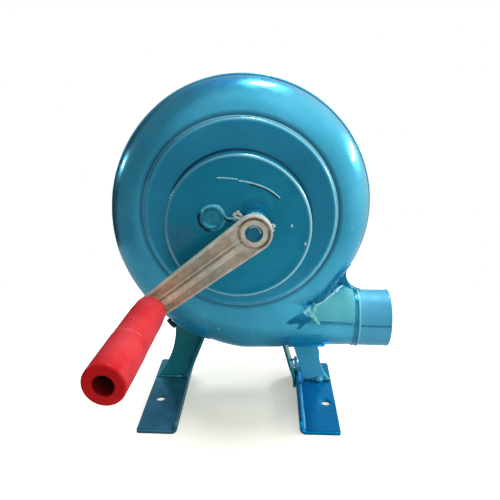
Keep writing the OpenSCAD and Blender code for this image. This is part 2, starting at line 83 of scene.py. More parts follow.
SHEET = 1.2  # wall of the pressed sheet
RIM_R = 84.3  # the casing's round side, about the fan axis
EDGE_R = 24.0  # the quarter round between its face and its skirt
HALF = 27.0  # depth of one half
EDGE_F = HALF - EDGE_R
SPIRAL_R = 93.6  # the casing's spiral side, about a centre of its own
SPIRAL_AT = np.array([5.978, -7.124])
SPIRAL_FROM = 130.0  # the angle at which the spiral starts
PLATEAU_R = 60.1
PLATEAU_F = 29.3
FACE_R = 61.7  # where the front's flat face starts, at the foot of the plateau's step
FACE_F = 26.95
INLET_R = 31.0

DUCT_FROM = SPIRAL_AT[0]
DUCT_TO = 80.0
DUCT_Z = 69.3  # middle of the duct where it starts; it ends at the pipe's height
SEAM_Z = 70.2  # the seam between the duct and the neck
PIPE_R = 20.0
PIPE_Z = 65.3
PIPE_V = PIPE_Z - AXIS_Z
PIPE_END = mm_box("outlet_pipe")[1][0]

COVER_AT = np.array([-0.5, -3.7])
COVER_R = 44.8
COVER_F = 45.0
BOSS_AT = IDLER - (1.0, 0.5)

ARM_F = -HANDLE[1]
ARM_T = 6.2  # from the arm's back to its highest rim
THROW = np.hypot(*(HANDLE[[0, 2]] - [CRANK[0], CRANK[1] + AXIS_Z]))
ARM_ANGLE = math.atan2(HANDLE[2] - AXIS_Z - CRANK[1], HANDLE[0] - CRANK[0])


# ---------------------------------------------------------------- shapes as arrays

def place(u, v, f):
    """Front-view places and forward depths as points (x, y, z)."""
    u, v, f = np.broadcast_arrays(u, v, f)
    return np.stack([u, -f, AXIS_Z + v], -1)


def smoothstep(low, high, x):
    """0 below low, 1 above high, and 3t^2 - 2t^3 between."""
    t = np.clip((x - low) / (high - low), 0, 1)
    return t * t * (3 - 2 * t)


def soft_max(a, b, k):
    """The larger of two heights, with a parabolic fillet of reach k where they are near each other."""
    near = np.clip(k - np.abs(a - b), 0, None) / k
    return np.maximum(a, b) + near * near * k / 4


def ripple(points, size, height, seed):
    """A smooth uneven height at each point: a sum of eight plane waves of about that size, seeded."""
    rng = np.random.default_rng(seed)
    total = np.zeros(points.shape[:-1])
    for _ in range(8):
        way = rng.normal(size=3)
        wave = 2 * np.pi / (size * rng.uniform(0.7, 1.5))
        total += np.sin(points @ (way / np.linalg.norm(way)) * wave + rng.uniform(0, 6.28))
    return total * height / 8


def rounded(corners, steps=6, closed=False):
    """A polyline of (a, b, radius) corners, each replaced by a tangent arc of its radius."""
    p = np.array([c[:2] for c in corners], float)
    out = []
    for i, (_, _, radius) in enumerate(corners):
        if radius == 0 or (not closed and i in (0, len(corners) - 1)):
            out.append(p[i][None])
            continue
        back, on = p[i - 1] - p[i], p[(i + 1) % len(p)] - p[i]
        back, on = back / np.linalg.norm(back), on / np.linalg.norm(on)
        half = np.arccos(np.clip(back @ on, -1, 1)) / 2
        middle = p[i] + (back + on) / np.linalg.norm(back + on) * radius / np.sin(half)
        a, b = p[i] + back * radius / np.tan(half) - middle, p[i] + on * radius / np.tan(half) - middle
        sweep = np.pi - 2 * half
        t = np.linspace(0, 1, steps)[:, None]
        out.append(middle + (np.sin((1 - t) * sweep) * a + np.sin(t * sweep) * b) / np.sin(sweep))
    return np.concatenate(out)


def dense(path, step):
    """A polyline with points added so that none are further apart than step."""
    out = [path[:1]]
    for a, b in zip(path[:-1], path[1:]):
        n = max(1, int(np.ceil(np.linalg.norm(b - a) / step)))
        out.append(a + (b - a) * (np.arange(1, n + 1) / n)[:, None])
    return np.concatenate(out)


def sharp_ended(n):
    """Steps from 0 to 1, n even ones between three close ones, so that shading turns sharply at the ends."""
    return np.concatenate([[0, 0.0006, 0.002], np.linspace(0.008, 0.992, n), [0.998, 0.9994, 1]])


def turned(profile, at, n=160):
    """A profile of (radius, forward depth) turned about the line along y at the front-view place at."""
    a = np.linspace(0, 2 * np.pi, n, endpoint=False)[:, None]
    r, f = profile[:, 0], profile[:, 1]
    return place(at[0] + r * np.cos(a), at[1] + r * np.sin(a), f + 0 * a)


def along(path, section, up=(0, 0, 1)):
    """A section of (side, up) offsets carried along a path of points, square to it."""
    way = np.gradient(path, axis=0)
    way /= np.linalg.norm(way, axis=1)[:, None]
    side = np.cross(way, np.array(up, float))
    side /= np.linalg.norm(side, axis=1)[:, None]
    rise = np.cross(side, way)
    return path[:, None] + section[..., 0, None] * side[:, None] + section[..., 1, None] * rise[:, None]


def circle(r, n=16):
    """A circle of radius r as n offsets."""
    a = np.linspace(0, 2 * np.pi, n, endpoint=False)
    return np.column_stack([r * np.cos(a), r * np.sin(a)])


def curve_through(points, n):
    """A smooth path of n points through a few given ones: Catmull-Rom pieces, evenly spread."""
    p = np.array(points, float)
    p = np.concatenate([2 * p[:1] - p[1:2], p, 2 * p[-1:] - p[-2:-1]])
    t = np.linspace(0, len(p) - 3 - 1e-9, n)
    i = t.astype(int)
    t = (t - i)[:, None]
    a, b, c, d = p[i], p[i + 1], p[i + 2], p[i + 3]
    return 0.5 * (2 * b + (c - a) * t + (2 * a - 5 * b + 4 * c - d) * t**2 + (3 * b - a - 3 * c + d) * t**3)


# ---------------------------------------------------------------- arrays to meshes

def mesh_piece(name, points, material, body="housing", wrap=(False, False), caps=False, thick=0.0,
               inside=None, stands_for=()):
    """A grid of points as a smooth mesh that rides on a body, the housing unless another is given.

    wrap joins the grid's rows or columns end to end, caps closes its first and last rows with a fan, and
    thick gives a sheet its wall, laid inward. inside is a point that an open sheet's faces turn away from.
    """
    m, n = points.shape[:2]
    index = np.arange(m * n).reshape(m, n)
    rows = np.concatenate([index, index[:1]]) if wrap[0] else index
    both = np.concatenate([rows, rows[:, :1]], 1) if wrap[1] else rows
    corners = both[:-1, :-1], both[:-1, 1:], both[1:, 1:], both[1:, :-1]
    faces = np.stack(corners, -1).reshape(-1, 4).tolist()
    spots = points.reshape(-1, 3)
    if caps:
        spots = np.concatenate([spots, points[:1].mean(1), points[-1:].mean(1)])
        for row, hub in ((index[0], m * n), (index[-1], m * n + 1)):
            faces += [[int(a), int(b), hub] for a, b in zip(row, np.roll(row, -1))]
    mesh = bpy.data.meshes.new(name)
    mesh.from_pydata((spots * MM).tolist(), [], faces)
    work = bmesh.new()
    work.from_mesh(mesh)
    bmesh.ops.remove_doubles(work, verts=work.verts, dist=1e-6)
    bmesh.ops.recalc_face_normals(work, faces=work.faces)
    if inside is not None:
        middle = Vector(inside) * MM
        outward = sum(f.normal.dot(f.calc_center_median() - middle) * f.calc_area() for f in work.faces)
        if outward < 0:
            bmesh.ops.reverse_faces(work, faces=work.faces)
    work.to_mesh(mesh)
    work.free()
    mesh.shade_smooth()
    mesh.materials.append(material)
    piece = bpy.data.objects.new(name, mesh)
    bpy.context.scene.collection.objects.link(piece)
    if thick:
        wall = piece.modifiers.new("wall", "SOLIDIFY")
        wall.thickness = thick * MM
        wall.offset = -1
    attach(piece, body)
    if stands_for:
        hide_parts(*stands_for)
    return piece


# ---------------------------------------------------------------- materials

def linear(hex_colour):
    """An sRGB hex colour as linear RGBA."""
    c = np.array([int(hex_colour[i:i + 2], 16) for i in (1, 3, 5)]) / 255
    c = np.where(c <= 0.04045, c / 12.92, ((c + 0.055) / 1.055) ** 2.4)
    return (*c.tolist(), 1.0)


DOT = {"operation": "DOT_PRODUCT"}
LENGTH = {"operation": "LENGTH"}
TIMES = {"operation": "MULTIPLY"}
MIXED = {"data_type": "RGBA", "blend_type": "MIX"}
TINTED = {"data_type": "RGBA", "blend_type": "MULTIPLY"}
ADDED = {"data_type": "RGBA", "blend_type": "ADD"}


def add(tree, kind, settings=None, out=0, **links):
    """One output of a new node, its settings made and its inputs linked or set.

    An input is named, or given by its number after an underscore. The stops of a ramp are a setting too: a
    list of (position, colour), each colour a hex one or a grey level.
    """
    node = tree.nodes.new("ShaderNode" + kind)
    for key, value in (settings or {}).items():
        if key != "stops":
            setattr(node, key, value)
            continue
        while len(node.color_ramp.elements) < len(value):
            node.color_ramp.elements.new(0.5)
        for element, (position, colour) in zip(node.color_ramp.elements, value):
            element.position = position
            element.color = linear(colour) if isinstance(colour, str) else (colour, colour, colour, 1)
    for key, value in links.items():
        socket = node.inputs[int(key[1:]) if key[0] == "_" and key[1:].isdigit() else key.replace("_", " ")]
        if isinstance(value, bpy.types.NodeSocket):
            tree.links.new(value, socket)
        else:
            socket.default_value = value
    return node.outputs[out]


def start(name, **sockets):
    """A new material's node tree and its shader, with plain socket values set."""
    material = bpy.data.materials.new(name)
    material.use_nodes = True
    tree = material.node_tree
    shader = tree.nodes["Principled BSDF"]
    for key, value in sockets.items():
        shader.inputs[key.replace("_", " ")].default_value = value
    return material, tree, shader


def feed(shader, **links):
    """Outputs linked to the shader's inputs of those names."""
    for key, value in links.items():
        shader.id_data.links.new(value, shader.inputs[key.replace("_", " ")])


def noise(tree, size_mm, detail=3.0, rough=0.55, stretch=(1, 1, 1)):
    """Noise on the object's own coordinates whose features are about size_mm across."""
    spot = add(tree, "TexCoord", out="Object")
    spot = add(tree, "Mapping", Vector=spot, Scale=stretch)
    return add(tree, "TexNoise", Vector=spot, Scale=1 / (size_mm * MM), Detail=detail, Roughness=rough)


def off_axis(tree, at, axis):
    """Where a point lies from a place on an axis, how far along it and how far out, in tenths of a metre."""
    spot = add(tree, "TexCoord", out="Object")
    away = add(tree, "VectorMath", {"operation": "SUBTRACT"}, _0=spot, _1=Vector(at) * MM)
    axis = 10 * Vector(axis)
    far = add(tree, "VectorMath", DOT, "Value", _0=away, _1=axis)
    cross = add(tree, "VectorMath", {"operation": "CROSS_PRODUCT"}, _0=away, _1=axis)
    return away, far, add(tree, "VectorMath", LENGTH, "Value", _0=cross)


def enamel(name, deep, middle, pale, rings=None, coat=0.6, metal=0.8, rough=0.27):
    """Air-drying glossy enamel, brushed on thickly: slightly pearly blue with a hard clear skin, long waves
    and fine orange peel, and darker where it pooled.

    rings is a front-view place, the way its painted highlight is strongest, and two ramps over the distance
    from the place in tenths of a metre: where a pale line is painted along an edge, a painted highlight that
    fades away from that way, and a tint, used for painted shade in rings round the place.
    """
    material, tree, shader = start(name, Metallic=metal, Coat_Weight=coat, Coat_Roughness=0.04)
    shader.inputs["Coat IOR"].default_value = 1.5
    pools = [(0.3, deep), (0.52, middle), (0.72, pale)]
    colour = add(tree, "ValToRGB", {"stops": pools}, Fac=noise(tree, 38, 4))
    if rings:
        at, lit_way, glint_band, tint = rings
        away, _, out = off_axis(tree, place(*at, 0).tolist(), (0, 1, 0))
        # A pale line painted along the edge, a painted highlight strongest on the lit side; then a tint for
        # shade.
        facing = add(tree, "VectorMath", DOT, "Value", _0=away, _1=(10 * lit_way[0], 0, 10 * lit_way[1]))
        lit_side = add(tree, "MapRange", _0=facing, _1=-0.5, _2=0.1, _3=0.3, _4=1)
        painted_glint = add(tree, "Math", TIMES, _0=add(tree, "ValToRGB", {"stops": glint_band}, Fac=out), _1=lit_side)
        colour = add(tree, "Mix", MIXED, 2, _0=painted_glint, _6=colour, _7=linear("#b4f4ff"))
        ring_tint = add(tree, "ValToRGB", {"stops": tint}, Fac=out)
        colour = add(tree, "Mix", TINTED, 2, _0=1.0, _6=colour, _7=ring_tint)
    patches = [(0.3, rough - 0.07), (0.7, rough + 0.07)]
    waves = add(tree, "Bump", Strength=0.2, Distance=0.0005, Height=noise(tree, 16, 2))
    peel = add(tree, "Bump", Strength=0.04, Distance=0.0001, Height=noise(tree, 2.2, 2), Normal=waves)
    feed(shader, Base_Color=colour, Normal=peel, Coat_Normal=peel,
         Roughness=add(tree, "ValToRGB", {"stops": patches}, Fac=noise(tree, 9)))
    return material


def bright_steel(name, dark, light, roughness, grain=(1, 1, 1), grain_mm=0.6, metal=1.0):
    """Bare or plated steel: metal that shows grain from turning or polishing, with stains."""
    material, tree, shader = start(name, Metallic=metal)
    scratch = noise(tree, grain_mm, 4, 0.6, grain)
    patches = [(0.3, roughness * 0.8), (0.7, roughness * 1.3)]
    feed(shader,
         Base_Color=add(tree, "ValToRGB", {"stops": [(0.32, dark), (0.66, light)]}, Fac=noise(tree, 7, 5)),
         Roughness=add(tree, "ValToRGB", {"stops": patches}, Fac=scratch),
         Normal=add(tree, "Bump", Strength=0.3, Distance=0.0001, Height=scratch))
    return material


# Tints on the arm's plating. Across the arm, over a range of 20 mm: painted highlights on the rims and ribs,
# painted shade in the groove between the ribs, and a faint brown tarnish on the web. Down the arm and round
# its eye: by the distance from the crank's axis in tenths of a metre, with painted shade in the eye's groove.
ACROSS_RIBS = [(0.1, "#fff8e8"), (0.125, "#e8dac8"), (0.36, "#e0d0c0"), (0.385, "#fff4e0"),
               (0.425, "#f4e8d8"), (0.455, "#b0a48e"), (0.475, "#b0a48e"), (0.51, "#fffae8"),
               (0.67, "#fcf0dc"), (0.71, "#e8dac8"), (0.87, "#e8dcd0"), (0.9, "#fffaf0")]
DOWN_ARM = [(0.18, "#ffffff"), (0.35, "#e6f2fa"), (0.6, "#fff8f0")]
ROUND_EYE = [(0.05, "#fffaf0"), (0.074, "#fffaf0"), (0.08, "#dccfb8"), (0.09, "#dccfb8"),
             (0.098, "#ffffff")]


def cast_plating(name, dark, light):
    """Thin nickel on a casting, in random light and dark patches: painted highlights on the raised ribs and
    edges and painted shade in the groove between the ribs, over a faint brown tarnish; down the arm a faint
    cool tint halfway and a faint warm one towards the grip."""
    material, tree, shader = start(name, Metallic=0.1)
    away, _, out = off_axis(tree, place(*CRANK, 0).tolist(), (0, 1, 0))
    square = (-10 * math.sin(ARM_ANGLE), 0, 10 * math.cos(ARM_ANGLE))
    across = add(tree, "VectorMath", DOT, "Value", _0=away, _1=square)
    across = add(tree, "MapRange", _0=across, _1=-0.1, _2=0.1)
    past_eye = add(tree, "ValToRGB", {"stops": [(0.1, 0), (0.14, 1)]}, Fac=out)
    colour = add(tree, "ValToRGB", {"stops": [(0.32, dark), (0.66, light)]}, Fac=noise(tree, 5, 5))
    for how_far, over, stops in ((past_eye, across, ACROSS_RIBS), (1, out, DOWN_ARM), (1, out, ROUND_EYE)):
        tint = add(tree, "ValToRGB", {"stops": stops}, Fac=over)
        colour = add(tree, "Mix", TINTED, 2, _0=how_far, _6=colour, _7=tint)
    scratch = noise(tree, 1.2, 4)
    feed(shader, Base_Color=colour,
         Roughness=add(tree, "ValToRGB", {"stops": [(0.3, 0.32), (0.7, 0.5)]}, Fac=scratch),
         Normal=add(tree, "Bump", Strength=0.3, Distance=0.0001, Height=scratch))
    return material


def moulded_plastic(name, shade, body, lit):
    """Injection-moulded glossy plastic: even red, a trace of flow marks and handling scuffs; deeper on the
    end face and dark down the socket, both painted shade."""
    material, tree, shader = start(name, IOR=1.3, Subsurface_Weight=0.06, Subsurface_Scale=0.002)
    _, far, out = off_axis(tree, HANDLE.tolist(), HANDLE_AXIS.tolist())
    marks = [(0.3, shade), (0.5, body), (0.75, lit)]
    colour = add(tree, "ValToRGB", {"stops": marks}, Fac=noise(tree, 24, 3))
    for over, stops in ((far, [(0.8, "#ffffff"), (0.83, "#f88080")]),
                        (out, [(0.048, "#602028"), (0.056, "#ffffff")])):
        tint = add(tree, "ValToRGB", {"stops": stops}, Fac=over)
        colour = add(tree, "Mix", TINTED, 2, _0=1.0, _6=colour, _7=tint)
    seam = add(tree, "ValToRGB", {"stops": [(0.46, 0), (0.466, 0.4), (0.472, 0.4), (0.478, 0)]}, Fac=far)
    patchy = add(tree, "ValToRGB", {"stops": [(0.45, 0), (0.6, 1)]}, Fac=noise(tree, 7, 4))
    scuff = add(tree, "Math", TIMES, _0=seam, _1=patchy)
    feed(shader,
         Base_Color=add(tree, "Mix", MIXED, 2, _0=scuff, _6=colour, _7=linear("#ffc8b8")),
         Roughness=add(tree, "ValToRGB", {"stops": [(0.3, 0.26), (0.7, 0.4)]}, Fac=noise(tree, 3, 4)),
         Normal=add(tree, "Bump", Strength=0.15, Distance=0.0002, Height=noise(tree, 5, 3)))
    return material


# An even full coat: pearly, with sharp highlights.
ENAMEL = enamel("blue_enamel", "#40c4e8", "#4cd0f6", "#60dcff")
# The same coat, with a pale line painted along the plateau's rounded step as a painted highlight, strongest
# towards the upper right, a ring of painted shade at the step's foot, and the plateau inside it tinted
# darker.
ENAMEL_FRONT = enamel("blue_enamel_pressed_step", "#40c4e8", "#4cd0f6", "#60dcff", (
    (0, 0), (0.9, 0.4), [(0.596, 0), (0.603, 1), (0.613, 1), (0.618, 0)],
    [(0.581, "#84d0d8"), (0.596, "#ffffff"), (0.615, "#ffffff"), (0.622, "#90a4a8"), (0.635, "#b0bcc0"),
     (0.652, "#f4f4f4")]))
# Deeper on the cover, with a pale line painted along its rolled edge as a painted highlight, strongest
# towards the lower right, and a ring of painted shadow just outside it, where it meets the plateau.
ENAMEL_COVER = enamel("blue_enamel_cover", "#149abc", "#1ca6ca", "#2cb4d4", (
    COVER_AT, (0.7, -0.7), [(0.428, 0), (0.436, 1), (0.448, 1), (0.4495, 0)],
    [(0.44, "#ffffff"), (0.4495, "#ffffff"), (0.4515, "#6c6064"), (0.459, "#8c868c"), (0.468, "#ffffff")]),
    coat=0.25)
# One coat on small turned parts, darker on sheet that stands in the shade.
ENAMEL_PLATE = enamel("blue_enamel_plate", "#20a2c2", "#2cb0d0", "#3cbcdc")
ENAMEL_DARK = enamel("blue_enamel_shadow", "#1c86aa", "#2894b8", "#38a8c8")
# Thin on the neck's sheet and the pipe: greener or paler, flat, with soft highlights.
ENAMEL_NECK = enamel("blue_enamel_neck", "#50b8bc", "#60d0dc", "#70e4f4", coat=0.3, metal=0.2)
ENAMEL_PIPE = enamel("blue_enamel_pipe", "#50b8dc", "#5cc4e8", "#70d0f4", coat=0.05, metal=0.15, rough=0.45)
# Pale and bright copies for cut edges, beads, welds, raised lips and small marks: painted highlights.
ENAMEL_PALE_HIGHLIGHT = enamel("blue_enamel_pale_highlight", "#a8f4f8", "#bcfaff", "#d4ffff", metal=0.2)
ENAMEL_WELD_HIGHLIGHT = enamel("blue_enamel_run", "#78dce0", "#88ecec", "#a4f8f8", coat=0.6, metal=0.2)
ENAMEL_JOINT = enamel("blue_enamel_joint", "#70dcf8", "#80e8ff", "#98f4ff", coat=0.4, metal=0.3)
# Deep, with little gloss: painted shade on the gusset, the torn corner and the fillet by the neck; a darker,
# more saturated blue on the saddle patches; and nearly black, painted shadow beside raised marks and on the
# curled saddle end.
ENAMEL_DEEP = enamel("blue_enamel_painted_shade", "#0880a8", "#0c8cb4", "#1498c0", coat=0.2)
ENAMEL_PATCH = enamel("blue_enamel_patch", "#089cc4", "#0ca8d0", "#14b4dc", coat=0.2, metal=0.4, rough=0.4)
ENAMEL_SHADOW_BLACK = enamel("blue_enamel_painted_shadow", "#02222c", "#04303c", "#083c48", coat=0.2, metal=0.2)
# The legs: a lighter copy on the right one, where light falls, and a darker, greener shaded copy on the left
# one, the stays and the welds at the feet: painted light and painted shade.
ENAMEL_LEG = enamel("blue_enamel_leg", "#58ccec", "#68d8f4", "#78e4ff", coat=0.3, metal=0.1)
ENAMEL_SHADE = enamel("blue_enamel_shaded", "#1c8488", "#24949a", "#34a4aa", coat=0.3, metal=0.2)
# The feet: a thick deep coat on the right one, a greyer, duller teal on the left one.
ENAMEL_FOOT = enamel("blue_enamel_thick", "#008cc0", "#0094cc", "#04a0d8", coat=0.03, metal=0.9)
ENAMEL_GREYER = enamel("blue_enamel_greyer", "#387884", "#58a0b4", "#80c4e0", coat=0.15)
# Warm grey nickel, worn and half dull, with painted highlights and painted shade on its relief.
PLATING = cast_plating("nickel_plate_worn_and_lit", "#dcd2c4", "#fffcf0")
# Turned steel shows fine rings round its axis; cut gears are darker with oil; zinc is cool and even.
STEEL = bright_steel("turned_steel", "#77736b", "#c4c1b8", 0.3, (1, 8, 1))
GEAR = bright_steel("cut_gear_steel", "#5c5c5e", "#8d8d90", 0.35)
ZINC = bright_steel("zinc_plated_sheet", "#9aa0a6", "#c3c8cc", 0.35)
# Galvanised sheet has a spangle, drawn here as patches of 4 mm.
FAN = bright_steel("galvanised_sheet", "#868c92", "#b5babf", 0.42, (1, 1, 1), 4)
# Sintered bronze is a dull brown gold, and tinned wire a soft near white.
BRONZE = bright_steel("sintered_bronze", "#7a5a30", "#a98449", 0.4)
COTTER = bright_steel("tinned_wire", "#f8f0dc", "#fffdf8", 0.4, metal=0.0)
# A bright, slightly deep red with soft highlights.
PLASTIC = moulded_plastic("red_grip_plastic", "#e01a22", "#f4343a", "#ff5456")


# ---------------------------------------------------------------- casing

def sagged(points):
    """The points with the underside pressed out a little between the legs, fading up the round edge."""
    u, v = points[..., 0], points[..., 2] - AXIS_Z
    sag = 1.5 * smoothstep(-26, 4, u) * smoothstep(34, 27, u) * smoothstep(-78, -98, v)
    return points - sag[..., None] * np.array([0, 0, 1])


def dents(points, front=True):
    """How far the sheet of one half is uneven in depth, the same for every piece of that half."""
    return ripple(points, 46, 0.25, 3 if front else 4)


def casing_rim(first, last, round_steps, spiral_steps):
    """The casing's outline between two angles in degrees: each step's centre, radius and way out.

    It goes over the round side about the fan axis, then down the spiral side about its own centre.
    """
    a = np.radians(np.concatenate([np.linspace(first, SPIRAL_FROM, round_steps),
                                   np.linspace(SPIRAL_FROM, last, spiral_steps)[1:]]))
    spiral = (a > math.radians(SPIRAL_FROM))[:, None]
    way = np.column_stack([np.cos(a), np.sin(a)])
    return np.where(spiral, SPIRAL_AT, 0), np.where(spiral, SPIRAL_R, RIM_R), way


def casing_half(name, front, stands_for):
    """One pressed half of the casing.

    Columns go round it from straight below the axis. Rows go from the middle outward: a turned step about
    the fan axis, a flat that widens with the spiral, a quarter round and a short skirt.
    """
    at, big, way = casing_rim(-90, 270, 150, 100)
    if front:
        step = rounded([(38, PLATEAU_F, 0), (PLATEAU_R + 0.1, PLATEAU_F, 2.0),
                        (PLATEAU_R + 1.1, FACE_F - 0.1, 0.7), (FACE_R + 0.1, FACE_F, 0)], 12)
    else:
        step = rounded([(INLET_R + 0.2, 21.5, 0), (INLET_R, HALF, 1.1), (PLATEAU_R, HALF, 0)], 6)
    step = dense(step, 6)
    inner = way[:, None] * step[None, :, :1]
    near = np.linalg.norm(at + way * (big - EDGE_R), axis=1)
    first = np.arcsin(np.clip(step[-1, 0] - near, 0.3, 1.5) / EDGE_R)[:, None]
    bend = first + (np.pi / 2 - first) * np.linspace(0, 1, 44)
    bend_at = at + way * (big - EDGE_R + EDGE_R * np.sin(first))
    flat = np.linspace(0, 1, 10)[1:, None, None]
    level = (inner[:, -1] + (bend_at - inner[:, -1]) * flat).transpose(1, 0, 2)
    edge = at[:, None] + way[:, None] * (big[:, :, None] - EDGE_R + EDGE_R * np.sin(bend)[..., None])
    skirt = at[:, None] + way[:, None] * big[:, :, None] + np.zeros((1, 2, 1))
    round_f = EDGE_F + EDGE_R * np.cos(bend)
    level_f = step[-1, 1] + (round_f[:, :1] - step[-1, 1]) * np.linspace(0, 1, 9)
    f = np.concatenate([np.tile(step[:, 1], (len(way), 1)), level_f, round_f,
                        np.tile([EDGE_F / 2, 0.1], (len(way), 1))], 1)
    uv = np.concatenate([inner, level, edge, skirt], 1)
    points = sagged(place(uv[..., 0], uv[..., 1], f if front else -f))
    points[..., 1] += dents(points, front)
    return mesh_piece(name, points, ENAMEL_FRONT if front else ENAMEL, thick=SHEET,
                      inside=(0, 0, AXIS_Z), stands_for=stands_for)


casing_half("casing_front", True, ["front_shell"])
casing_half("casing_back", False, ["rear_shell"])


def duct_size(u):
    """The duct's section at u: half its flat depth, its middle height v and its radius."""
    t = np.clip((u - DUCT_FROM) / (DUCT_TO - DUCT_FROM), 0, 1)
    return EDGE_F * (1 - t), (DUCT_Z - AXIS_Z) * (1 - t) + PIPE_V * t, EDGE_R * (1 - t) + (PIPE_R - 0.2) * t


def duct_point(u, angle, grow=0.0, lift=0.0):
    """A point of the duct's skin, angle in degrees from the top towards the front, grown outward."""
    half, middle, radius = duct_size(u)
    a = np.radians(angle)
    side = np.where(np.sin(a) >= 0, half, -half) * np.clip(np.abs(np.sin(a)) * 6, 0, 1)
    up = (radius + grow) * np.cos(a)
    return place(u, middle + up * np.where(up > 0, 1 + lift, 1), side + (radius + grow) * np.sin(a))


def duct_front(u, v):
    """Forward depth of the duct's front: half its flat depth and its round side."""
    half, middle, radius = duct_size(u)
    return half + np.sqrt(np.clip(radius**2 - (v - middle)**2, 0, None))


def below_plateau(u):
    """Height v at which the flat face starts below the plateau."""
    return -np.sqrt(np.clip(FACE_R**2 - u**2, 1, None))


def belly(u, v):
    """Forward depth of the casing's front below the plateau, at a front-view place.

    The spiral's flat face is mixed to the right into the drum's round edge and the duct's round side with a
    soft fillet between them.
    """
    half, middle, radius = duct_size(u)
    r = np.hypot(u, v)
    past = np.clip(r - (RIM_R - EDGE_R), 0, None)
    drum = np.where(r < RIM_R, EDGE_F + np.sqrt(np.clip(EDGE_R**2 - past**2, 0, None)), -40)
    valley = soft_max(drum, duct_front(u, v), 5 + 6 * smoothstep(6, 26, u) - 8 * smoothstep(30, 49, u))
    down = np.clip((v - below_plateau(u)) / (middle - below_plateau(u)), 0, 1)
    flat = FACE_F + (half + radius - FACE_F) * down
    return flat + (valley - flat) * smoothstep(10, 40, u)


def lower_casing(name, front, low_u, high_u, under_drum):
    """The underside of the casing from the spiral's end to the pipe, as one pressed half.

    Columns are upright cuts at u. Under the drum each starts below the plateau, and right of it at the
    neck's seam. All end in a quarter round at the bottom.
    """
    u = (low_u + (high_u - low_u) * sharp_ended(84))[:, None]
    half, middle, radius = duct_size(u)
    top = below_plateau(u) if under_drum else SEAM_Z - AXIS_Z + 0 * u
    v = top + (middle - top) * sharp_ended(54)
    face = belly(u + 0 * v, v) if under_drum else duct_front(u, v)
    angle = np.radians(90 + 90 * np.linspace(0, 1, 40)[1:])
    v_low = middle + radius * np.cos(angle)
    f_low = half + radius * np.sin(angle)
    v_all = np.concatenate([v, v_low, v_low[:, -1:]], 1)
    f_all = np.concatenate([face + 0.04, f_low + 0.04 * under_drum, 0 * u + 0.1], 1)
    points = sagged(place(u + 0 * v_all, v_all, f_all if front else -f_all))
    points[..., 1] += dents(points, front)
    return mesh_piece(name, points, ENAMEL_FRONT if front else ENAMEL, thick=SHEET,
                      inside=(40, 0, 72))


for half_name, is_front in (("front", True), ("back", False)):
    piece = lower_casing("duct_" + half_name, is_front, -0.5, 49.6, True)
    lower_casing("duct_right_" + half_name, is_front, 49.0, 78.2, False)
    if is_front:
        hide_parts("outlet_duct")


def lap_ring():
    """The flange of the back half that laps over the front half's skirt, rolled at its lip."""
    section = rounded([(-0.6, 3.2, 0.4), (0.9, 2.4, 0.5), (1.26, 1.4, 0.5), (1.26, -2.0, 0.45),
                       (0.2, -2.0, 0.3), (-0.6, -1.0, 0.3)], 5, closed=True)
    at, big, way = casing_rim(-28, 228, 130, 70)
    reach = big + section[:, 0]
    uv = at[:, None] + way[:, None] * reach[..., None]
    points = place(uv[..., 0], uv[..., 1], -section[:, 1] + 0 * reach)
    points += ripple(points, 14, 0.1, 9)[..., None]
    mesh_piece("casing_lap", points, ENAMEL, wrap=(False, True), caps=True)


lap_ring()


# ---------------------------------------------------------------- outlet

def neck_crown(u):
    """How far the neck's top rises above the plain duct towards the drum."""
    return 0.13 * smoothstep(DUCT_TO + 1, DUCT_TO - 9, u) * smoothstep(40, 58, u)


def neck():
    """The sheet that closes the top of the duct, from the front seam over the top to the back seam.

    Its cut edges stand a little proud, and its right end is a short sleeve round the pipe.
    """
    u = np.concatenate([np.linspace(48.9, 77.2, 60), [77.6, 77.9, 78.2, 78.4]])[:, None]
    angle = np.linspace(79.5, -86, 90)
    grow = np.array([0.9] * 60 + [1.0, 0.9, 0.7, 0.3])[:, None] + 0 * angle
    grow = grow - 0.5 * smoothstep(76, 79.5, angle)
    points = duct_point(u, angle, grow, neck_crown(u))
    points += ripple(points, 22, 0.3, 12)[..., None]
    mesh_piece("outlet_neck_sheet", points, ENAMEL_NECK, thick=SHEET, inside=(65, 0, 66),
               stands_for=["outlet_neck"])


def bead(name, path, size, paint, seed, lumps=1.0, body="housing"):
    """A weld bead: a round section carried along a path, swelling and shrinking unevenly."""
    path = curve_through(path, max(24, int(len(path) * 6)))
    points = along(path, circle(size, 12)[None] + 0 * path[:, None, :2], (0.13, 0.31, 0.94))
    swell = 1 + lumps * ripple(points.mean(1, keepdims=True), 4, 1.2, seed)
    points = path[:, None] + (points - path[:, None]) * swell[..., None]
    points += ripple(points, 2.5, 0.25 * lumps, seed + 5)[..., None]
    mesh_piece(name, points, paint, body, wrap=(False, True), caps=True)


def arc(at, radius, sweep, f):
    """Points on an arc about a front-view place. sweep is its first and last degree and how many points."""
    a = np.radians(np.linspace(*sweep))
    return place(at[0] + radius * np.cos(a), at[1] + radius * np.sin(a), f)


def gusset():
    """The filler between the drum's rim and the neck's top, hollowed on its right edge, in deep blue: painted
    shade.
    """
    t = np.linspace(0, 1, 40)[:, None]
    centre, radius = (DUCT_TO + 6.5, PIPE_V + PIPE_R + 13), 13.2
    a = np.radians(172 + 88 * t)
    right = np.concatenate([centre[0] + radius * np.cos(a), centre[1] + radius * np.sin(a)], 1)
    left = np.concatenate([55 + 12 * (1 - t), PIPE_V + 14 + 20 * (1 - t)], 1)
    s = np.concatenate([np.linspace(0, 0.97, 8), [0.985, 1, 1, 0.985], np.linspace(0.97, 0, 8)])
    f = np.concatenate([np.full(8, 1.0), [0.7, 0.0, -5.0, -5.7], np.full(8, -6.0)])
    uv = left[:, None] + (right - left)[:, None] * s[:, None]
    points = place(uv[..., 0], uv[..., 1], f)
    mesh_piece("outlet_gusset", points, ENAMEL_DEEP, wrap=(False, True), caps=True)


def about_pipe(x, r, a):
    """Points at x and at a distance and an angle from the outlet pipe's line, the angle from the front up."""
    return np.stack(np.broadcast_arrays(x, -r * np.cos(a), PIPE_Z + r * np.sin(a)), -1)


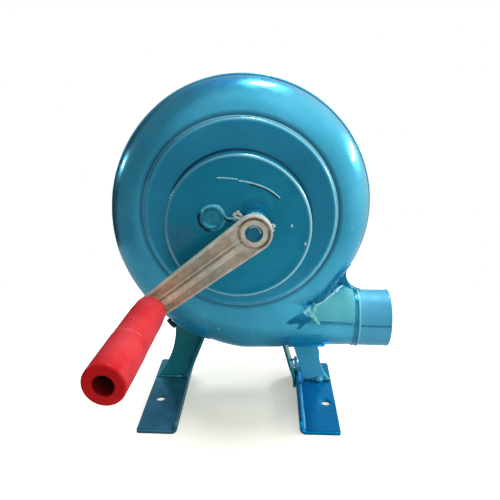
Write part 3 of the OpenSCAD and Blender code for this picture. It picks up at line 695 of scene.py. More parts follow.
def pipe():
    """The outlet pipe, rolled from sheet: a shallow open seam on its front and a slightly belled end."""
    a = np.linspace(0, 2 * np.pi, 180, endpoint=False)[:, None]
    start_x, outer, inner = 78.5, PIPE_R - 0.1, PIPE_R - 1.3
    wall = rounded([(start_x, outer, 0), (101, outer, 3), (PIPE_END - 0.1, outer + 0.35, 0.5),
                    (PIPE_END - 0.1, inner + 0.2, 0.5), (100, inner, 3), (start_x, inner, 0)], 6)
    wall = dense(wall, 3)
    seam_at, seam_wide = 5.8, 1.3
    past_seam = (np.degrees(a) - seam_at + 180) % 360 - 180
    dip = 0.6 * np.exp(-(past_seam / seam_wide)**2)
    r = wall[:, 1] - dip * (wall[:, 1] > 19.5)
    points = about_pipe(wall[:, 0], r, a)
    points[..., 1:] *= (1 + ripple(points, 30, 0.004, 21))[..., None]
    mesh_piece("outlet_pipe_end", points, ENAMEL_PIPE, wrap=(True, True),
               stands_for=["outlet_pipe"])


def ring_about_pipe(name, corners, paint, steps):
    """A closed section of (x, radius) corners turned about the outlet pipe's line."""
    a = np.linspace(0, 2 * np.pi, 144, endpoint=False)[:, None]
    section = dense(rounded(corners, steps, closed=True), 0.4)
    points = about_pipe(section[:, 0], section[:, 1], a)
    points += ripple(points, 12, 0.12, 37)[..., None]
    mesh_piece(name, points, paint, wrap=(True, True))


neck()
gusset()
pipe()
# Places (u, v, f) along the neck's cut edge, a drop on it, the drum's cut edge below it, and the weld and the
# blob at the neck's left end. Their beads are pale: painted highlights.
LIP = np.array([(71.2, -56.6, 0.9), (68.0, -56.5, 5.2), (65.6, -57.3, 8.6), (62.9, -58.6, 11.6),
                (60.2, -59.9, 13.9), (55.9, -62.3, 17.0), (52.6, -63.8, 18.4), (50.8, -64.4, 19.0)])
LIP_DROP = (LIP[1:4] + LIP[2]) / 2
RIM_LIP = np.array([(75.6, -39.2, 3.6), (72.4, -43.4, 3.8), (69.4, -47.8, 4.0), (66.9, -51.2, 4.2)])
WELD = np.array([(50.8, -64.4, 19.0), (49.6, -67.3, 20.1), (48.6, -69.7, 21.3), (50.0, -72.3, 22.1),
                 (51.8, -75.0, 22.5), (53.2, -76.4, 22.6)])
BLOB = np.array([(43.2, -69.3, 21.6), (44.5, -67.8, 20.8), (46.6, -67.0, 20.1), (47.6, -69.4, 21.3),
                 (48.4, -71.8, 22.1)])
bead("neck_lip", place(*LIP.T), 0.8, ENAMEL_PALE_HIGHLIGHT, 31, 0.35)
bead("neck_lip_drop", place(*LIP_DROP.T), 1.3, ENAMEL_PALE_HIGHLIGHT, 36, 0.3)
bead("rim_lip", place(*RIM_LIP.T), 0.7, ENAMEL_PALE_HIGHLIGHT, 39, 0.3)
bead("neck_left_weld", place(*WELD.T), 1.5, ENAMEL_WELD_HIGHLIGHT, 32, 0.9)
bead("neck_left_blob", place(*BLOB.T), 1.2, ENAMEL_PALE_HIGHLIGHT, 33, 0.9)
# A dark bead along the neck's seam: painted shade.
bead("neck_seam", duct_point(np.linspace(53.5, 78, 14), np.full(14, 80.6), 0.2), 0.7, ENAMEL_DARK, 34, 0.3)
bead("neck_back_weld", duct_point(np.full(12, 48.7), np.linspace(-82, -22, 12), 0.4, neck_crown(48.7)), 0.9,
     ENAMEL, 42, 0.8)
# The pipe is let into the neck's sleeve: a groove, dark with painted shade, then a raised lip, bright with a
# painted highlight.
ring_about_pipe("joint_groove", [(78.0, 20.5, 0.2), (79.4, 20.1, 1), (80.9, 20.3, 0.2), (80.9, 19.3, 0.2),
                                 (78.0, 19.3, 0.2)], ENAMEL_DARK, 5)
ring_about_pipe("joint_lip", [(81.0, 19.6, 0.2), (81.1, 20.7, 0.4), (82.3, 20.7, 0.5), (82.6, 19.6, 0.2)],
                ENAMEL_JOINT, 6)
# A dark bead in the pipe's seam: painted shade.
bead("pipe_seam", about_pipe(np.linspace(83, PIPE_END - 0.6, 9), PIPE_R - 0.1, np.radians(5.5)), 0.45,
     ENAMEL_DARK, 40, 0.3)


def torn_corner_shade():
    """A dark patch, lying on the belly, where the pressed edge was torn and painted over: painted shade for
    the hollow there. Its outline is shrunk to a middle.
    """
    outline = np.array([(29.8, -75.3), (36, -71.4), (41.2, -68.5), (44.6, -70.7), (48.7, -72.4),
                        (48.1, -74.7), (44.1, -76.4), (42.4, -78.9), (40.4, -80.8), (38.3, -80.3),
                        (40.7, -78.0), (38.2, -75.3), (33.2, -76.9)])
    outline = dense(np.concatenate([outline, outline[:1]]), 0.5)[:-1]
    middle = (42.4, -74.6)
    shrunk = middle + (outline - middle)[:, None] * np.linspace(1, 0.01, 24)[None, :, None]
    rise = 0.25 * smoothstep(0, 0.12, np.linspace(0, 1, 24)) - 0.1
    points = place(shrunk[..., 0], shrunk[..., 1], belly(shrunk[..., 0], shrunk[..., 1]) + rise)
    points[..., 1] += dents(points) + ripple(points, 5, 0.15, 35)
    mesh_piece("torn_corner_shade", points, ENAMEL_DEEP, wrap=(True, False), inside=(40, 0, 72))


def corner_shade_fillet():
    """A thin dark fillet in the corner between the drum and the neck, painted shade: laid on the rim's round,
    and from its edge carried over to the neck's lip.

    Columns go down the rim by degrees below the axis. Rows go outward from one radius to another.
    """
    down = np.linspace(26.7, 51, 70)[:, None]
    near = np.interp(down, [26.7, 28.7, 31, 35.6, 39.2, 42.4, 45.2, 48.5, 51],
                     [80.5, 77.6, 75.6, 75.5, 76, 76.5, 77.2, 78, 78.5])
    far = np.interp(down, [26.7, 37.5, 40, 41.1, 43, 44.9, 48.1, 51],
                    [84.1, 84.1, 86.2, 87.1, 86, 84.9, 83.7, 82.3])
    end_f = np.interp(down, [26.7, 37.5, 41.1, 43, 44.9, 48.1, 51], [6.2, 6.2, 8.6, 11.4, 13.7, 16.8, 18.7])
    t = np.linspace(0, 1, 30)
    r = near + (far - near) * t

    def rim(r):
        """The depth of the rim's round at a radius."""
        return EDGE_F + np.sqrt(EDGE_R**2 - (np.minimum(r, 84.1) - RIM_R + EDGE_R)**2)

    f = rim(r) + (end_f - rim(far)) * t**1.6 + 0.25 * smoothstep(0, 0.12, t)
    points = place(r * np.cos(np.radians(-down)), r * np.sin(np.radians(-down)), f)
    points[..., 1] += dents(points)
    points += ripple(points, 6, 0.2, 38)[..., None]
    mesh_piece("corner_shade_fillet", points, ENAMEL_DEEP, thick=0.4, inside=(0, 0, AXIS_Z))


torn_corner_shade()
corner_shade_fillet()


# ---------------------------------------------------------------- gear cover

def cover():
    """The drawn gear cover: a face with a few shallow hollows, a rolled edge, a side wall and a hem."""
    profile = rounded([(0, COVER_F, 0), (COVER_R, COVER_F, 1.5), (COVER_R + 0.7, PLATEAU_F + 0.2, 0.9),
                       (COVER_R + 2.2, PLATEAU_F + 0.05, 0)], 12)
    profile = dense(profile, 1.2)
    profile[:, 0] = np.maximum(profile[:, 0], 0.01)
    points = turned(profile, COVER_AT, 220)
    face = smoothstep(COVER_R - 1, COVER_R - 6, np.hypot(points[..., 0] - COVER_AT[0],
                                                         points[..., 2] - AXIS_Z - COVER_AT[1]))
    points[..., 1] += (ripple(points, 30, 0.35, 41) + 0.25) * face
    mesh_piece("gear_cover_drawn", points, ENAMEL_COVER, wrap=(True, False),
               inside=(0, 0, AXIS_Z), stands_for=["gear_cover"])


def boss():
    """The riveted head of the idler's axle: a dished disc with an upset rim."""
    profile = rounded([(0.01, 1.1, 0), (4.6, 1.2, 2), (6.2, 1.9, 0.6), (7.4, 1.7, 0.5), (7.5, 0.2, 0.4),
                       (8.4, -0.1, 0)], 6)
    profile = dense(profile, 0.5)
    profile[:, 1] += COVER_F
    points = turned(profile, BOSS_AT, 72)
    points += ripple(points, 5, 0.35, 52)[..., None] * np.array([0, 1, 0])
    mesh_piece("idler_boss", points, ENAMEL_PLATE, wrap=(True, False), inside=(-15, 0, 149),
               stands_for=["idler_axle"])


cover()
boss()
# Places (u, v, f) along the thick run of paint from the boss to the crank, and (u, v) on its shaded side.
RIDGE = np.array([(-15.5, 10.7, 45.6), (-13.4, 10.5, 45.9), (-11.4, 9.3, 46.3), (-9.1, 6.1, 46.3),
                  (-7.2, 2.9, 45.8), (-4.0, 2.4, 45.6), (-1.0, 1.4, 45.4)])
RIDGE_SHADE = np.array([(-9.2, 3.8), (-8.2, 1.6), (-6.4, 0.9), (-4.2, 0.7)])
# Bright beads on the run and the boss's upper right: painted highlights; near-black ones below: painted
# shadow.
bead("cover_ridge", place(*RIDGE.T), 0.7, ENAMEL_JOINT, 61, 0.5)
bead("boss_bright_edge", arc(BOSS_AT, 7.3, (150, 20, 9), 46.3), 0.75, ENAMEL_JOINT, 66, 0.6)
bead("boss_dark_edge", arc(BOSS_AT, 8.3, (165, 262, 9), 45.0), 0.8, ENAMEL_SHADOW_BLACK, 67, 0.7)
bead("ridge_dark_edge", place(*RIDGE_SHADE.T, 45.0), 0.7, ENAMEL_SHADOW_BLACK, 68, 0.6)
# The thin arc above the crank that shows which way to turn, in two strokes, pale as painted highlights, and a
# near-black bead below the second one: its painted shadow.
MARK_START = np.array([(-13.0, 26.8), (-10, 26.9), (-7.0, 26.7), (-3.6, 26.5), (-0.8, 26.1)])
MARK_END = np.array([(-0.2, 25.4), (3.4, 24.9), (7.1, 24.1), (14.2, 22.0), (19.6, 19.2), (24.4, 15.4)])
for mark_name, line, size, paint in (("turning_mark_start", MARK_START, 0.45, ENAMEL_PALE_HIGHLIGHT),
                                     ("turning_mark_end", MARK_END, 0.5, ENAMEL_PALE_HIGHLIGHT),
                                     ("turning_mark_shadow", MARK_END[2:] - (0.6, 0.8), 0.35, ENAMEL_SHADOW_BLACK)):
    bead(mark_name, place(*line.T, 45.1), size, paint, 62, 0.2)
# Specks of paint standing proud: place, depth and size. Their pale colour is a painted highlight.
FLECK_GLINTS = ((40.4, -12.7, 45.2, 1.05), (32.0, -1.6, 44.8, 0.9), (-71.3, 2.6, 24.3, 0.9),
          (-72.6, 3.9, 23.6, 0.6), (71.2, -8.7, 24.1, 0.8), (73.5, -2.4, 22.9, 0.6),
          (-14.5, -80.0, 26.6, 0.5))
for number, (u, v, f, size) in enumerate(FLECK_GLINTS):
    speck = place(u + size * np.linspace(-0.6, 0.6, 4), v + 0.2 * np.linspace(-1, 1, 4), f - 0.2)
    bead("paint_fleck_glint_%d" % number, speck, size, ENAMEL_PALE_HIGHLIGHT, 64 + number, 0.4)


# ---------------------------------------------------------------- crank

def shaft_parts():
    """The crank shaft's end with its chamfer, and the painted collar on it."""
    back, end = -mm_box("crank_shaft")[1][1], -mm_box("crank_shaft")[0][1]
    profile = rounded([(0.01, back, 0), (5.0, back, 0.5), (5.0, end - 1.8, 0.2), (0.01, end - 1.8, 0)], 4)
    mesh_piece("crank_shaft_turned", turned(dense(profile, 1.5), CRANK, 64), STEEL, "crank",
               wrap=(True, False), inside=(CRANK[0], -55, AXIS_Z + CRANK[1]), stands_for=["crank_shaft"])
    profile = rounded([(0.01, end - 1.5, 0), (3.6, end - 1.5, 0.4), (4.1, end - 0.1, 0.3),
                       (4.97, end - 1.0, 0.3), (4.97, end - 2.2, 0.1), (0.01, end - 2.2, 0)], 5)
    # The recessed painted end is in the darker copy, painted shade; the pale arc on it is a painted
    # highlight.
    mesh_piece("crank_shaft_paint", turned(dense(profile, 0.5), CRANK, 64), ENAMEL_DARK, "crank",
               wrap=(True, False), inside=(CRANK[0], 1.8 - end, AXIS_Z + CRANK[1]))
    bead("crank_shaft_glint", arc(CRANK, 3.6, (130, -10, 9), end - 0.7), 0.5, ENAMEL_PALE_HIGHLIGHT, 72, 0.4, "crank")
    low, high = mm_box("shaft_collar")
    profile = rounded([(5.0, -low[1] - 0.6, 0), (6.4, -low[1], 0.7), (7.9, -low[1] - 0.5, 1.2),
                       (8.0, -high[1], 0.6), (5.0, -high[1], 0)], 8)
    points = turned(dense(profile, 1.0), CRANK, 72)
    points += ripple(points, 6, 0.12, 71)[..., None]
    mesh_piece("crank_collar", points, ENAMEL_PLATE, "crank", wrap=(True, False),
               inside=(CRANK[0], -51, AXIS_Z + CRANK[1]), stands_for=["shaft_collar"])
    # A bright bead round the collar's upper right edge: painted highlight.
    bead("crank_collar_edge", arc(CRANK, 7.5, (105, -15, 10), -low[1] - 0.5), 0.6, ENAMEL_JOINT, 73, 0.5,
         "crank")


def arm_height(along_arm, across, edge):
    """Height of the arm's face over its back: raised edges, a pair of ribs on a low floor down the middle, a
    ring round the eye and a pad at the handle. Each rises from the web by a smooth step."""
    web = 3.3
    rim = 2.9 * smoothstep(1.9, 1.1, edge)
    eye = np.hypot(along_arm, across)
    pad = np.hypot(along_arm - THROW, across)
    wide_rib = 2.4 * smoothstep(2.2, 1.5, np.abs(across - 1.9))
    thin_rib = 2.1 * smoothstep(1.0, 0.4, np.abs(across + 1.8))
    between = 1.3 * smoothstep(2.4, 1.8, np.abs(across - 0.2))
    rib = np.maximum.reduce([wide_rib, thin_rib, between]) * smoothstep(5, 9, eye)
    ring = 2.6 * smoothstep(8.6, 7.6, eye)
    open_rim = np.where(eye < 14, smoothstep(2, 9, along_arm) * smoothstep(5.5, 3.5, np.abs(across)), 0)
    disc = 2.4 * smoothstep(7.2, 5.6, pad)
    return web + np.maximum.reduce([rim * (1 - open_rim), rib, ring, disc])


def arm():
    """The cast crank arm.

    Columns run round its outline: one straight side, round the eye, the other side and round the handle's
    end. Rows run from the middle line, or from the edge of the eye's hole, out to the edge, down the
    side and back under to the middle.
    """
    eye_r, end_r, hole_r, inset = 10.4, 7.8, 5.05, 0.5
    tilt = math.asin((eye_r - end_r) / THROW)
    down = np.linspace(1, 0, 90)
    round_eye = np.linspace(np.pi / 2 - tilt, 3 * np.pi / 2 + tilt, 70)[1:-1]
    round_end = np.linspace(-np.pi / 2 + tilt, np.pi / 2 - tilt, 44)[1:-1]
    normal = np.concatenate([np.full(90, np.pi / 2 - tilt), round_eye, np.full(90, 3 * np.pi / 2 + tilt),
                             round_end])
    centre = np.concatenate([down, 0 * round_eye, down[::-1], 0 * round_end + 1])
    reach = (end_r * centre + eye_r * (1 - centre))[:, None]
    centre = THROW * centre
    first = np.sqrt(np.clip(hole_r**2 - centre**2, 0, None))[:, None]
    n = np.column_stack([np.cos(normal), np.sin(normal)])[:, None]
    on_line = np.stack([centre, 0 * centre], -1)[:, None]
    s = np.linspace(0, 1, 44)
    top = on_line + n * (first * (1 - s) + (reach - inset) * s)[..., None]
    high = arm_height(top[..., 0], top[..., 1], inset + (reach - inset - first) * (1 - s))
    side = on_line + n * (reach + np.array([-0.12, 0, 0, -0.3]))[..., None]
    rim_h = high[:, -1:]
    side_h = np.concatenate([0.97 * rim_h, rim_h - 0.6, 0 * rim_h + 0.5, 0 * rim_h], 1)
    back = top[:, ::-11]
    uv = np.concatenate([top, side, back], 1)
    h = np.concatenate([high, side_h, 0 * back[..., 0]], 1)
    c, sn = math.cos(ARM_ANGLE), math.sin(ARM_ANGLE)
    u = CRANK[0] + uv[..., 0] * c - uv[..., 1] * sn
    v = CRANK[1] + uv[..., 0] * sn + uv[..., 1] * c
    points = place(u, v, ARM_F - ARM_T + h)
    points[..., 1] += ripple(points, 7, 0.12, 81)
    mesh_piece("crank_arm_cast", points, PLATING, "crank", wrap=(True, True), stands_for=["crank_arm"])


def cotter():
    """A split pin of half-round wire: an eye, two legs through the shaft, and their ends bent apart.

    Each leg's path is given by (along, across) the pin, from the eye to the bent end.
    """
    lean = math.radians(163.3)
    way = np.array([math.cos(lean), math.sin(lean)])
    side = np.array([-way[1], way[0]])
    for name, sign, bent in (("cotter_leg_a", 1, [(9.6, 0.4), (11.8, 0.4), (13.2, -0.7), (12.4, -2.2)]),
                             ("cotter_leg_b", -1, [(8.6, -1.4), (9.6, -1.9), (11.2, -2.4), (11.9, -3.9)])):
        path = curve_through([(-10.4, 0.2 * sign), (-11.8, 1.4 * sign), (-10.2, 2.1 * sign),
                              (-8.6, 0.7 * sign), (-4, 0.55 * sign), (7.6, 0.55 * sign)] + bent, 90)
        uv = CRANK + path[:, :1] * way + path[:, 1:] * side
        line = place(uv[:, 0], uv[:, 1], 49.0 + 0.2 * sign)
        wide = 0.62 + 0.35 * smoothstep(8, 10, path[:, :1])
        points = along(line, circle(1.0, 12)[None] * wide[..., None], (0, -1, 0))
        piece = mesh_piece(name, points, COTTER, "crank", wrap=(False, True), caps=True)
        if sign > 0:
            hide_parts("cotter_pin")


def handle_frame(points):
    """Points given as (side, up, out along the pin) from the arm's face, set on the leaning pin."""
    out = HANDLE_AXIS / np.linalg.norm(HANDLE_AXIS)
    side = np.cross(out, (0, 0, 1.0))
    side /= np.linalg.norm(side)
    rise = np.cross(side, out)
    return HANDLE + points[..., :1] * side + points[..., 1:2] * rise + points[..., 2:3] * out


def grip():
    """The moulded grip: a slightly swelling barrel with soft ends, a moulding seam and a socket.

    Two seams run down it, where the halves of the mould met, and a fine step goes round its middle.
    """
    length, near, far, socket_r, step_at = 82.0, 9.7, 10.5, 5.0, 45.0
    profile = rounded([(4.3, 0.2, 0), (5.2, 0, 0.6), (near - 0.4, 0, 2.0), (near + 0.2, 12, 30),
                       (far - 0.1, 62, 40), (far - 0.1, length - 0.2, 1.5), (socket_r + 0.3, length, 0.7),
                       (socket_r, length - 2, 1), (socket_r - 0.2, length - 19, 0.8),
                       (0.01, length - 19.6, 0)], 10)
    profile = dense(profile, 0.6)
    r, up = profile[:, 0], profile[:, 1]
    a = np.linspace(0, 2 * np.pi, 120, endpoint=False)[:, None]
    outer = smoothstep(6, 8, r)
    seam = 0.16 * np.exp(-((np.degrees(a) % 180 - 62) / 1.5)**2) * outer
    step = 0.22 * smoothstep(step_at + 0.2, step_at + 0.6, up) * outer
    groove = 0.2 * np.exp(-((up - step_at) / 0.5)**2) * outer
    r = r + seam + step - groove - 0.1
    points = np.stack([r * np.cos(a), r * np.sin(a), up + 1.4 + 0 * a], -1)
    points[..., :2] *= (1 + ripple(points, 26, 0.012, 91) * outer)[..., None]
    mesh_piece("grip_moulded", handle_frame(points), PLASTIC, "grip", wrap=(True, False),
               stands_for=["grip"], inside=HANDLE + 30 * HANDLE_AXIS)


shaft_parts()
arm()
cotter()
grip()


# ---------------------------------------------------------------- feet, legs and saddles

FOOT_T = 2.2
BEND_R = 4.5
HOLES = {"left": (58.9, -12.8), "right": (62.4, -12.8)}
HOLE_R = 3.4
FOOT_PAINT = {"left": ENAMEL_GREYER, "right": ENAMEL_FOOT}
# Distances out from the middle: an upright's edges on the foot, its edges at its top height, and its waist
# with the waist's height; a stay's (distance, height) on the foot, at its knee and at its top.
UPRIGHTS = {"left": ((45.1, 67.2), (15.1, 45.7), (51.5, 45.7)),
            "right": ((48.5, 68.8), (23.2, 43.3), (59.2, 27))}
UPRIGHT_TOP_Z = 80
UPRIGHT_F = -19.25
UPRIGHT_T = 2.5
# The left upright is in the darker, greener shaded copy: painted shade; the right one in the lighter copy.
UPRIGHT_PAINT = {"left": ENAMEL_SHADE, "right": ENAMEL_LEG}
STAYS = {"left": ((41.4, 9.0), (41.4, 9.1), (22.5, 58.0)), "right": ((40.5, 1.2), (40.5, 6.0), (24.7, 58.0))}


def under(u, f):
    """How low the casing reaches at the front-view place u and depth f."""
    half, middle, radius = duct_size(np.maximum(u, DUCT_FROM))
    duct = middle - np.sqrt(np.clip(radius**2 - np.clip(np.abs(f) - half, 0, None)**2, 0, None))
    past = np.clip(np.abs(f) - EDGE_F, 0, None)
    reach = SPIRAL_R - EDGE_R + np.sqrt(np.clip(EDGE_R**2 - past**2, 0, None))
    spiral = SPIRAL_AT[1] - np.sqrt(np.clip(reach**2 - (u - SPIRAL_AT[0])**2, 0, None))
    return np.where(u > DUCT_FROM, duct, spiral)


def foot(name, side, seed):
    """A foot pressed from strip: a flat plate with a bolt hole and an upturned inner edge.

    Columns go round the hole. Rows run over the unrolled sheet from the hole to its rounded outline, over
    the edge and back underneath; the sheet is then bent up about the inner edge.
    """
    low, high = mm_box(name + "_foot")
    inner, outer = sorted(np.abs([low[0], high[0]]))
    flat = outer - inner - BEND_R
    bend = BEND_R - FOOT_T / 2
    wide = flat + bend * np.pi / 2 + high[2] - BEND_R
    outline = rounded([(0.15, low[1] + 0.15, 1.5), (wide - 0.15, low[1] + 0.15, 3.5),
                       (wide - 0.15, high[1] - 0.15, 3), (0.15, high[1] - 0.15, 2)], 9, closed=True)
    outline = dense(np.concatenate([outline, outline[:1]]), 0.9)[:-1]
    hole = np.array([outer - HOLES[name][0], HOLES[name][1]])
    ray = outline - hole
    ring = hole + ray / np.linalg.norm(ray, axis=1)[:, None] * HOLE_R
    t = np.concatenate([[0, 0.004, 0.012], np.linspace(0.03, 1, 46)])**1.15
    top = ring[:, None] + (outline - ring)[:, None] * t[None, :, None]
    rim = outline[:, None] + (outline - ring)[:, None] * np.array([0.002, 0.003, 0.002])[None, :, None]
    sheet = np.concatenate([top, rim, top[:, ::-1]], 1)
    upper = 1.0 - 0.25 * (t < 0.003) - 0.2 * (t > 0.998)
    level = np.concatenate([upper, [0.6, 0, -0.6], np.full(len(t), -1.0)]) * FOOT_T / 2 + 0 * sheet[..., 0]
    pressed_in = 0.18 * np.exp(-((t * 46 - 1) / 2.5)**2)
    level[:, :len(t)] -= pressed_in
    s, y = sheet[..., 0], sheet[..., 1]
    angle = np.clip((s - flat) / bend, 0, np.pi / 2)
    rise = np.clip(s - flat - bend * np.pi / 2, 0, None)
    x = outer - np.minimum(s, flat) - bend * np.sin(angle) + level * np.sin(angle)
    z = BEND_R - bend * np.cos(angle) + rise + level * np.cos(angle)
    points = np.stack([x, y, z], -1)
    uneven = ripple(points, 24, 0.22, seed)
    points[..., 2] = np.maximum(points[..., 2] + 0.12 + uneven * smoothstep(0.2, 1.5, z), 0.02)
    mesh_piece(name + "_foot_strip", points * (side, 1, 1), FOOT_PAINT[name], wrap=(True, True),
               stands_for=[name + "_foot"])


def upright_sides(name, z):
    """The inner and outer edges of an upright at a height: its outer edge is flared below the waist."""
    foot_ends, top_ends, waist = UPRIGHTS[name]
    down, out = waist[1] - FOOT_T, foot_ends[1] - waist[0]
    flare = (down**2 + out**2) / (2 * out)
    below = np.clip(waist[1] - z, 0, down)
    lean = (waist[0] - top_ends[1]) / (UPRIGHT_TOP_Z - waist[1]) * np.clip(z - waist[1], 0, None)
    inner = foot_ends[0] + (top_ends[0] - foot_ends[0]) * (z - FOOT_T) / (UPRIGHT_TOP_Z - FOOT_T)
    return inner, waist[0] + flare - np.sqrt(flare**2 - below**2) - lean


def upright(name, side, seed):
    """A leg cut from plate: straight on its inner edge, hollowed on its outer edge, its top let into the
    casing and its bottom standing on the foot. The height of its top is found in a few rounds, because its
    edges lean and the casing's underside is round."""
    across = np.concatenate([np.linspace(0.012, 0.988, 22), [0.996, 1, 1, 0.996],
                             np.linspace(0.988, 0.012, 22), [0.004, 0, 0, 0.004]])
    depth = np.concatenate([np.full(22, 1.0), [0.96, 0.7, -0.7, -0.96]])
    depth = np.concatenate([depth, -depth])
    top = np.full(across.shape, 46.0)
    for _ in range(6):
        left, right = upright_sides(name, top)
        top = AXIS_Z + under(side * (left + (right - left) * across), UPRIGHT_F) + 0.8
    z = FOOT_T - 0.3 + (top - FOOT_T + 0.3) * np.linspace(0, 1, 50)[:, None]
    left, right = upright_sides(name, z)
    points = place(side * (left + (right - left) * across), z - AXIS_Z, UPRIGHT_F + UPRIGHT_T / 2 * depth)
    points[..., 1] += ripple(points, 25, 0.25, seed)
    mesh_piece(name + "_upright_plate", points, UPRIGHT_PAINT[name], wrap=(False, True),
               caps=True, stands_for=[name + "_upright"])


def stay(name, side, seed):
    """A strip that rises from the foot's lip and leans in to the casing's underside, where it ends 1 mm
    inside the sheet: its reach there is found in a few rounds."""
    low, high = mm_box(name + "_stay")
    bottom, knee, top = np.array(STAYS[name])
    reach = 0.9
    for _ in range(6):
        end = knee + (top - knee) * reach
        reach *= 1 + (AXIS_Z + under(side * end[0], -8.5) + 1.0 - end[1]) / (top[1] - knee[1])
    path = curve_through([bottom, knee, knee + (end - knee) * 0.35, knee + (end - knee) * 0.7, end], 46)
    section = rounded([(-11, -1, 0.4), (11, -1, 0.4), (11, 1, 0.4), (-11, 1, 0.4)], 4, closed=True)
    line = np.stack([side * path[:, 0], np.full(46, (low[1] + high[1]) / 2), path[:, 1]], -1)
    way = np.gradient(line, axis=0)
    way /= np.linalg.norm(way, axis=1)[:, None]
    out = np.stack([way[:, 2], 0 * way[:, 0], -way[:, 0]], -1)
    points = line[:, None] + section[:, 0, None] * np.array([0, 1, 0]) + section[:, 1, None] * out[:, None]
    points += ripple(points, 14, 0.2, seed)[..., None]
    # The stays are in the shaded copy: painted shade.
    mesh_piece(name + "_stay_strip", points, ENAMEL_SHADE, wrap=(False, True), caps=True,
               stands_for=[name + "_stay"])


def saddle(name, u, low, high, seed):
    """A patch of sheet bent round the casing's underside where a leg is welded on: thick under the casing,
    feathered out with weld and paint on its face."""
    u, low, high = (edge[:, None] for edge in np.broadcast_arrays(u, low, high))
    angles = low + (high - low) * np.linspace(0, 1, 60)
    if name == "right":
        points = duct_point(u + 3 * smoothstep(46, 56, u) * smoothstep(112, 150, angles), angles,
                            0.5 + 1.0 * smoothstep(108, 140, angles))
    else:
        grow = 0.5 + 1.0 * smoothstep(65, 35, angles)
        reach = SPIRAL_R - EDGE_R + (EDGE_R + grow) * np.cos(np.radians(angles))
        v = SPIRAL_AT[1] - np.sqrt(reach**2 - (u - SPIRAL_AT[0])**2)
        points = place(u, v, (EDGE_R + grow + EDGE_F) * np.sin(np.radians(angles)))
    points += ripple(points, 9, 0.2, seed)[..., None]
    mesh_piece(name + "_saddle_patch", points, ENAMEL_PATCH, thick=1.6, inside=(0, 0, 90),
               stands_for=[name + "_saddle"])


for side_name, sign, number in (("left", -1, 101), ("right", 1, 111)):
    foot(side_name, sign, number)
    upright(side_name, sign, number + 1)
    stay(side_name, sign, number + 2)
saddle("right", np.linspace(33.5, 56.5, 30), 108, 250, 121)
left_u = np.linspace(-46.5, -22, 32)
saddle("left", left_u, -50, 46 + 8 * smoothstep(-46, -42, left_u) + 16 * smoothstep(-42, -22, left_u), 122)
# Dark welds where the uprights meet the feet, and the dark bridge and fillet at the right stay: painted
# shade; pale blobs on the welds: painted highlights; the near-black saddle curl: painted shadow; and a pale
# bead in the right foot's bend: painted reflection.
for bead_name, line, size, paint, number, lumpy in (
        ("right_foot_weld", [(48.8, 17.4, 3.0), (53, 17.2, 3.1), (57, 17.3, 3.0), (62, 17.1, 3.2),
                             (68, 17.3, 3.0)],
         1.0, ENAMEL_SHADE, 131, 1.0),
        ("right_foot_blob", [(58.2, 15.8, 3.1), (59.3, 16.4, 3.9), (60.6, 16.6, 3.6), (61.4, 16.9, 3.0)],
         1.9, ENAMEL_LEG, 132, 0.6),
        ("left_foot_weld", [(-67, 17.4, 2.8), (-60, 17.0, 3.0), (-53, 17.4, 2.9), (-48, 17.2, 3.0),
                            (-45, 17.4, 3.2)],
         0.8, ENAMEL_SHADE, 133, 1.0),
        ("left_foot_blob", [(-51, 16.6, 3.0), (-49.4, 16.2, 3.8), (-48, 16.6, 3.2)],
         1.2, ENAMEL_LEG, 135, 0.6),
        ("left_saddle_curl", [(-51.6, -10, 64.6), (-50.2, -10, 62.6), (-48.4, -10, 60.6),
                              (-46.6, -10, 59.0)],
         1.5, ENAMEL_SHADOW_BLACK, 137, 0.3),
        ("right_foot_bend_reflection", [(44.8, -46.5, 3.4), (44.9, -34, 3.3), (44.8, -20, 3.3), (44.8, -6, 3.3),
                            (44.9, 8, 3.3)],
         1.0, ENAMEL_PIPE, 138, 0.4),
        ("right_stay_bridge", [(36.4, 18.6, 18.8), (39.2, 18.7, 19.2), (42.4, 18.9, 19.9)],
         0.9, ENAMEL_SHADE, 134, 0.5),
        ("right_stay_fillet", [(38.6, 18.6, 11.4), (41.4, 18.7, 11.0), (45.4, 18.9, 11.0)],
         1.7, ENAMEL_SHADE, 136, 0.4)):
    bead(bead_name, np.array(line), size, paint, number, lumpy)


# ---------------------------------------------------------------- finishes of the frame's own solids

for nodes, finish in (
        (("bearing_plate", "plate_rivets", "inlet_bracket", "bracket_rivets"), ENAMEL_DARK),
        (("crank_bush", "fan_front_bush", "fan_rear_bush"), BRONZE),
        (("crank_shaft", "fan_shaft"), STEEL),
        (("crank_gear", "idler_pinion", "idler_gear", "fan_pinion"), GEAR),
        (("handle_pin", "handle_washer", "fan_hub", "fan_nut"), ZINC),
        (("fan_disc", "fan_blades", "fan_shroud"), FAN)):
    for node in nodes:
        for slot in bpy.data.objects[node].material_slots:
            slot.material = finish


# ---------------------------------------------------------------- stage

def heading(azimuth, elevation):
    """A direction from the object: azimuth 0 is to the front and 90 to the right, in degrees."""
    a, e = math.radians(azimuth), math.radians(elevation)
    return Vector((math.sin(a) * math.cos(e), -math.cos(a) * math.cos(e), math.sin(e)))


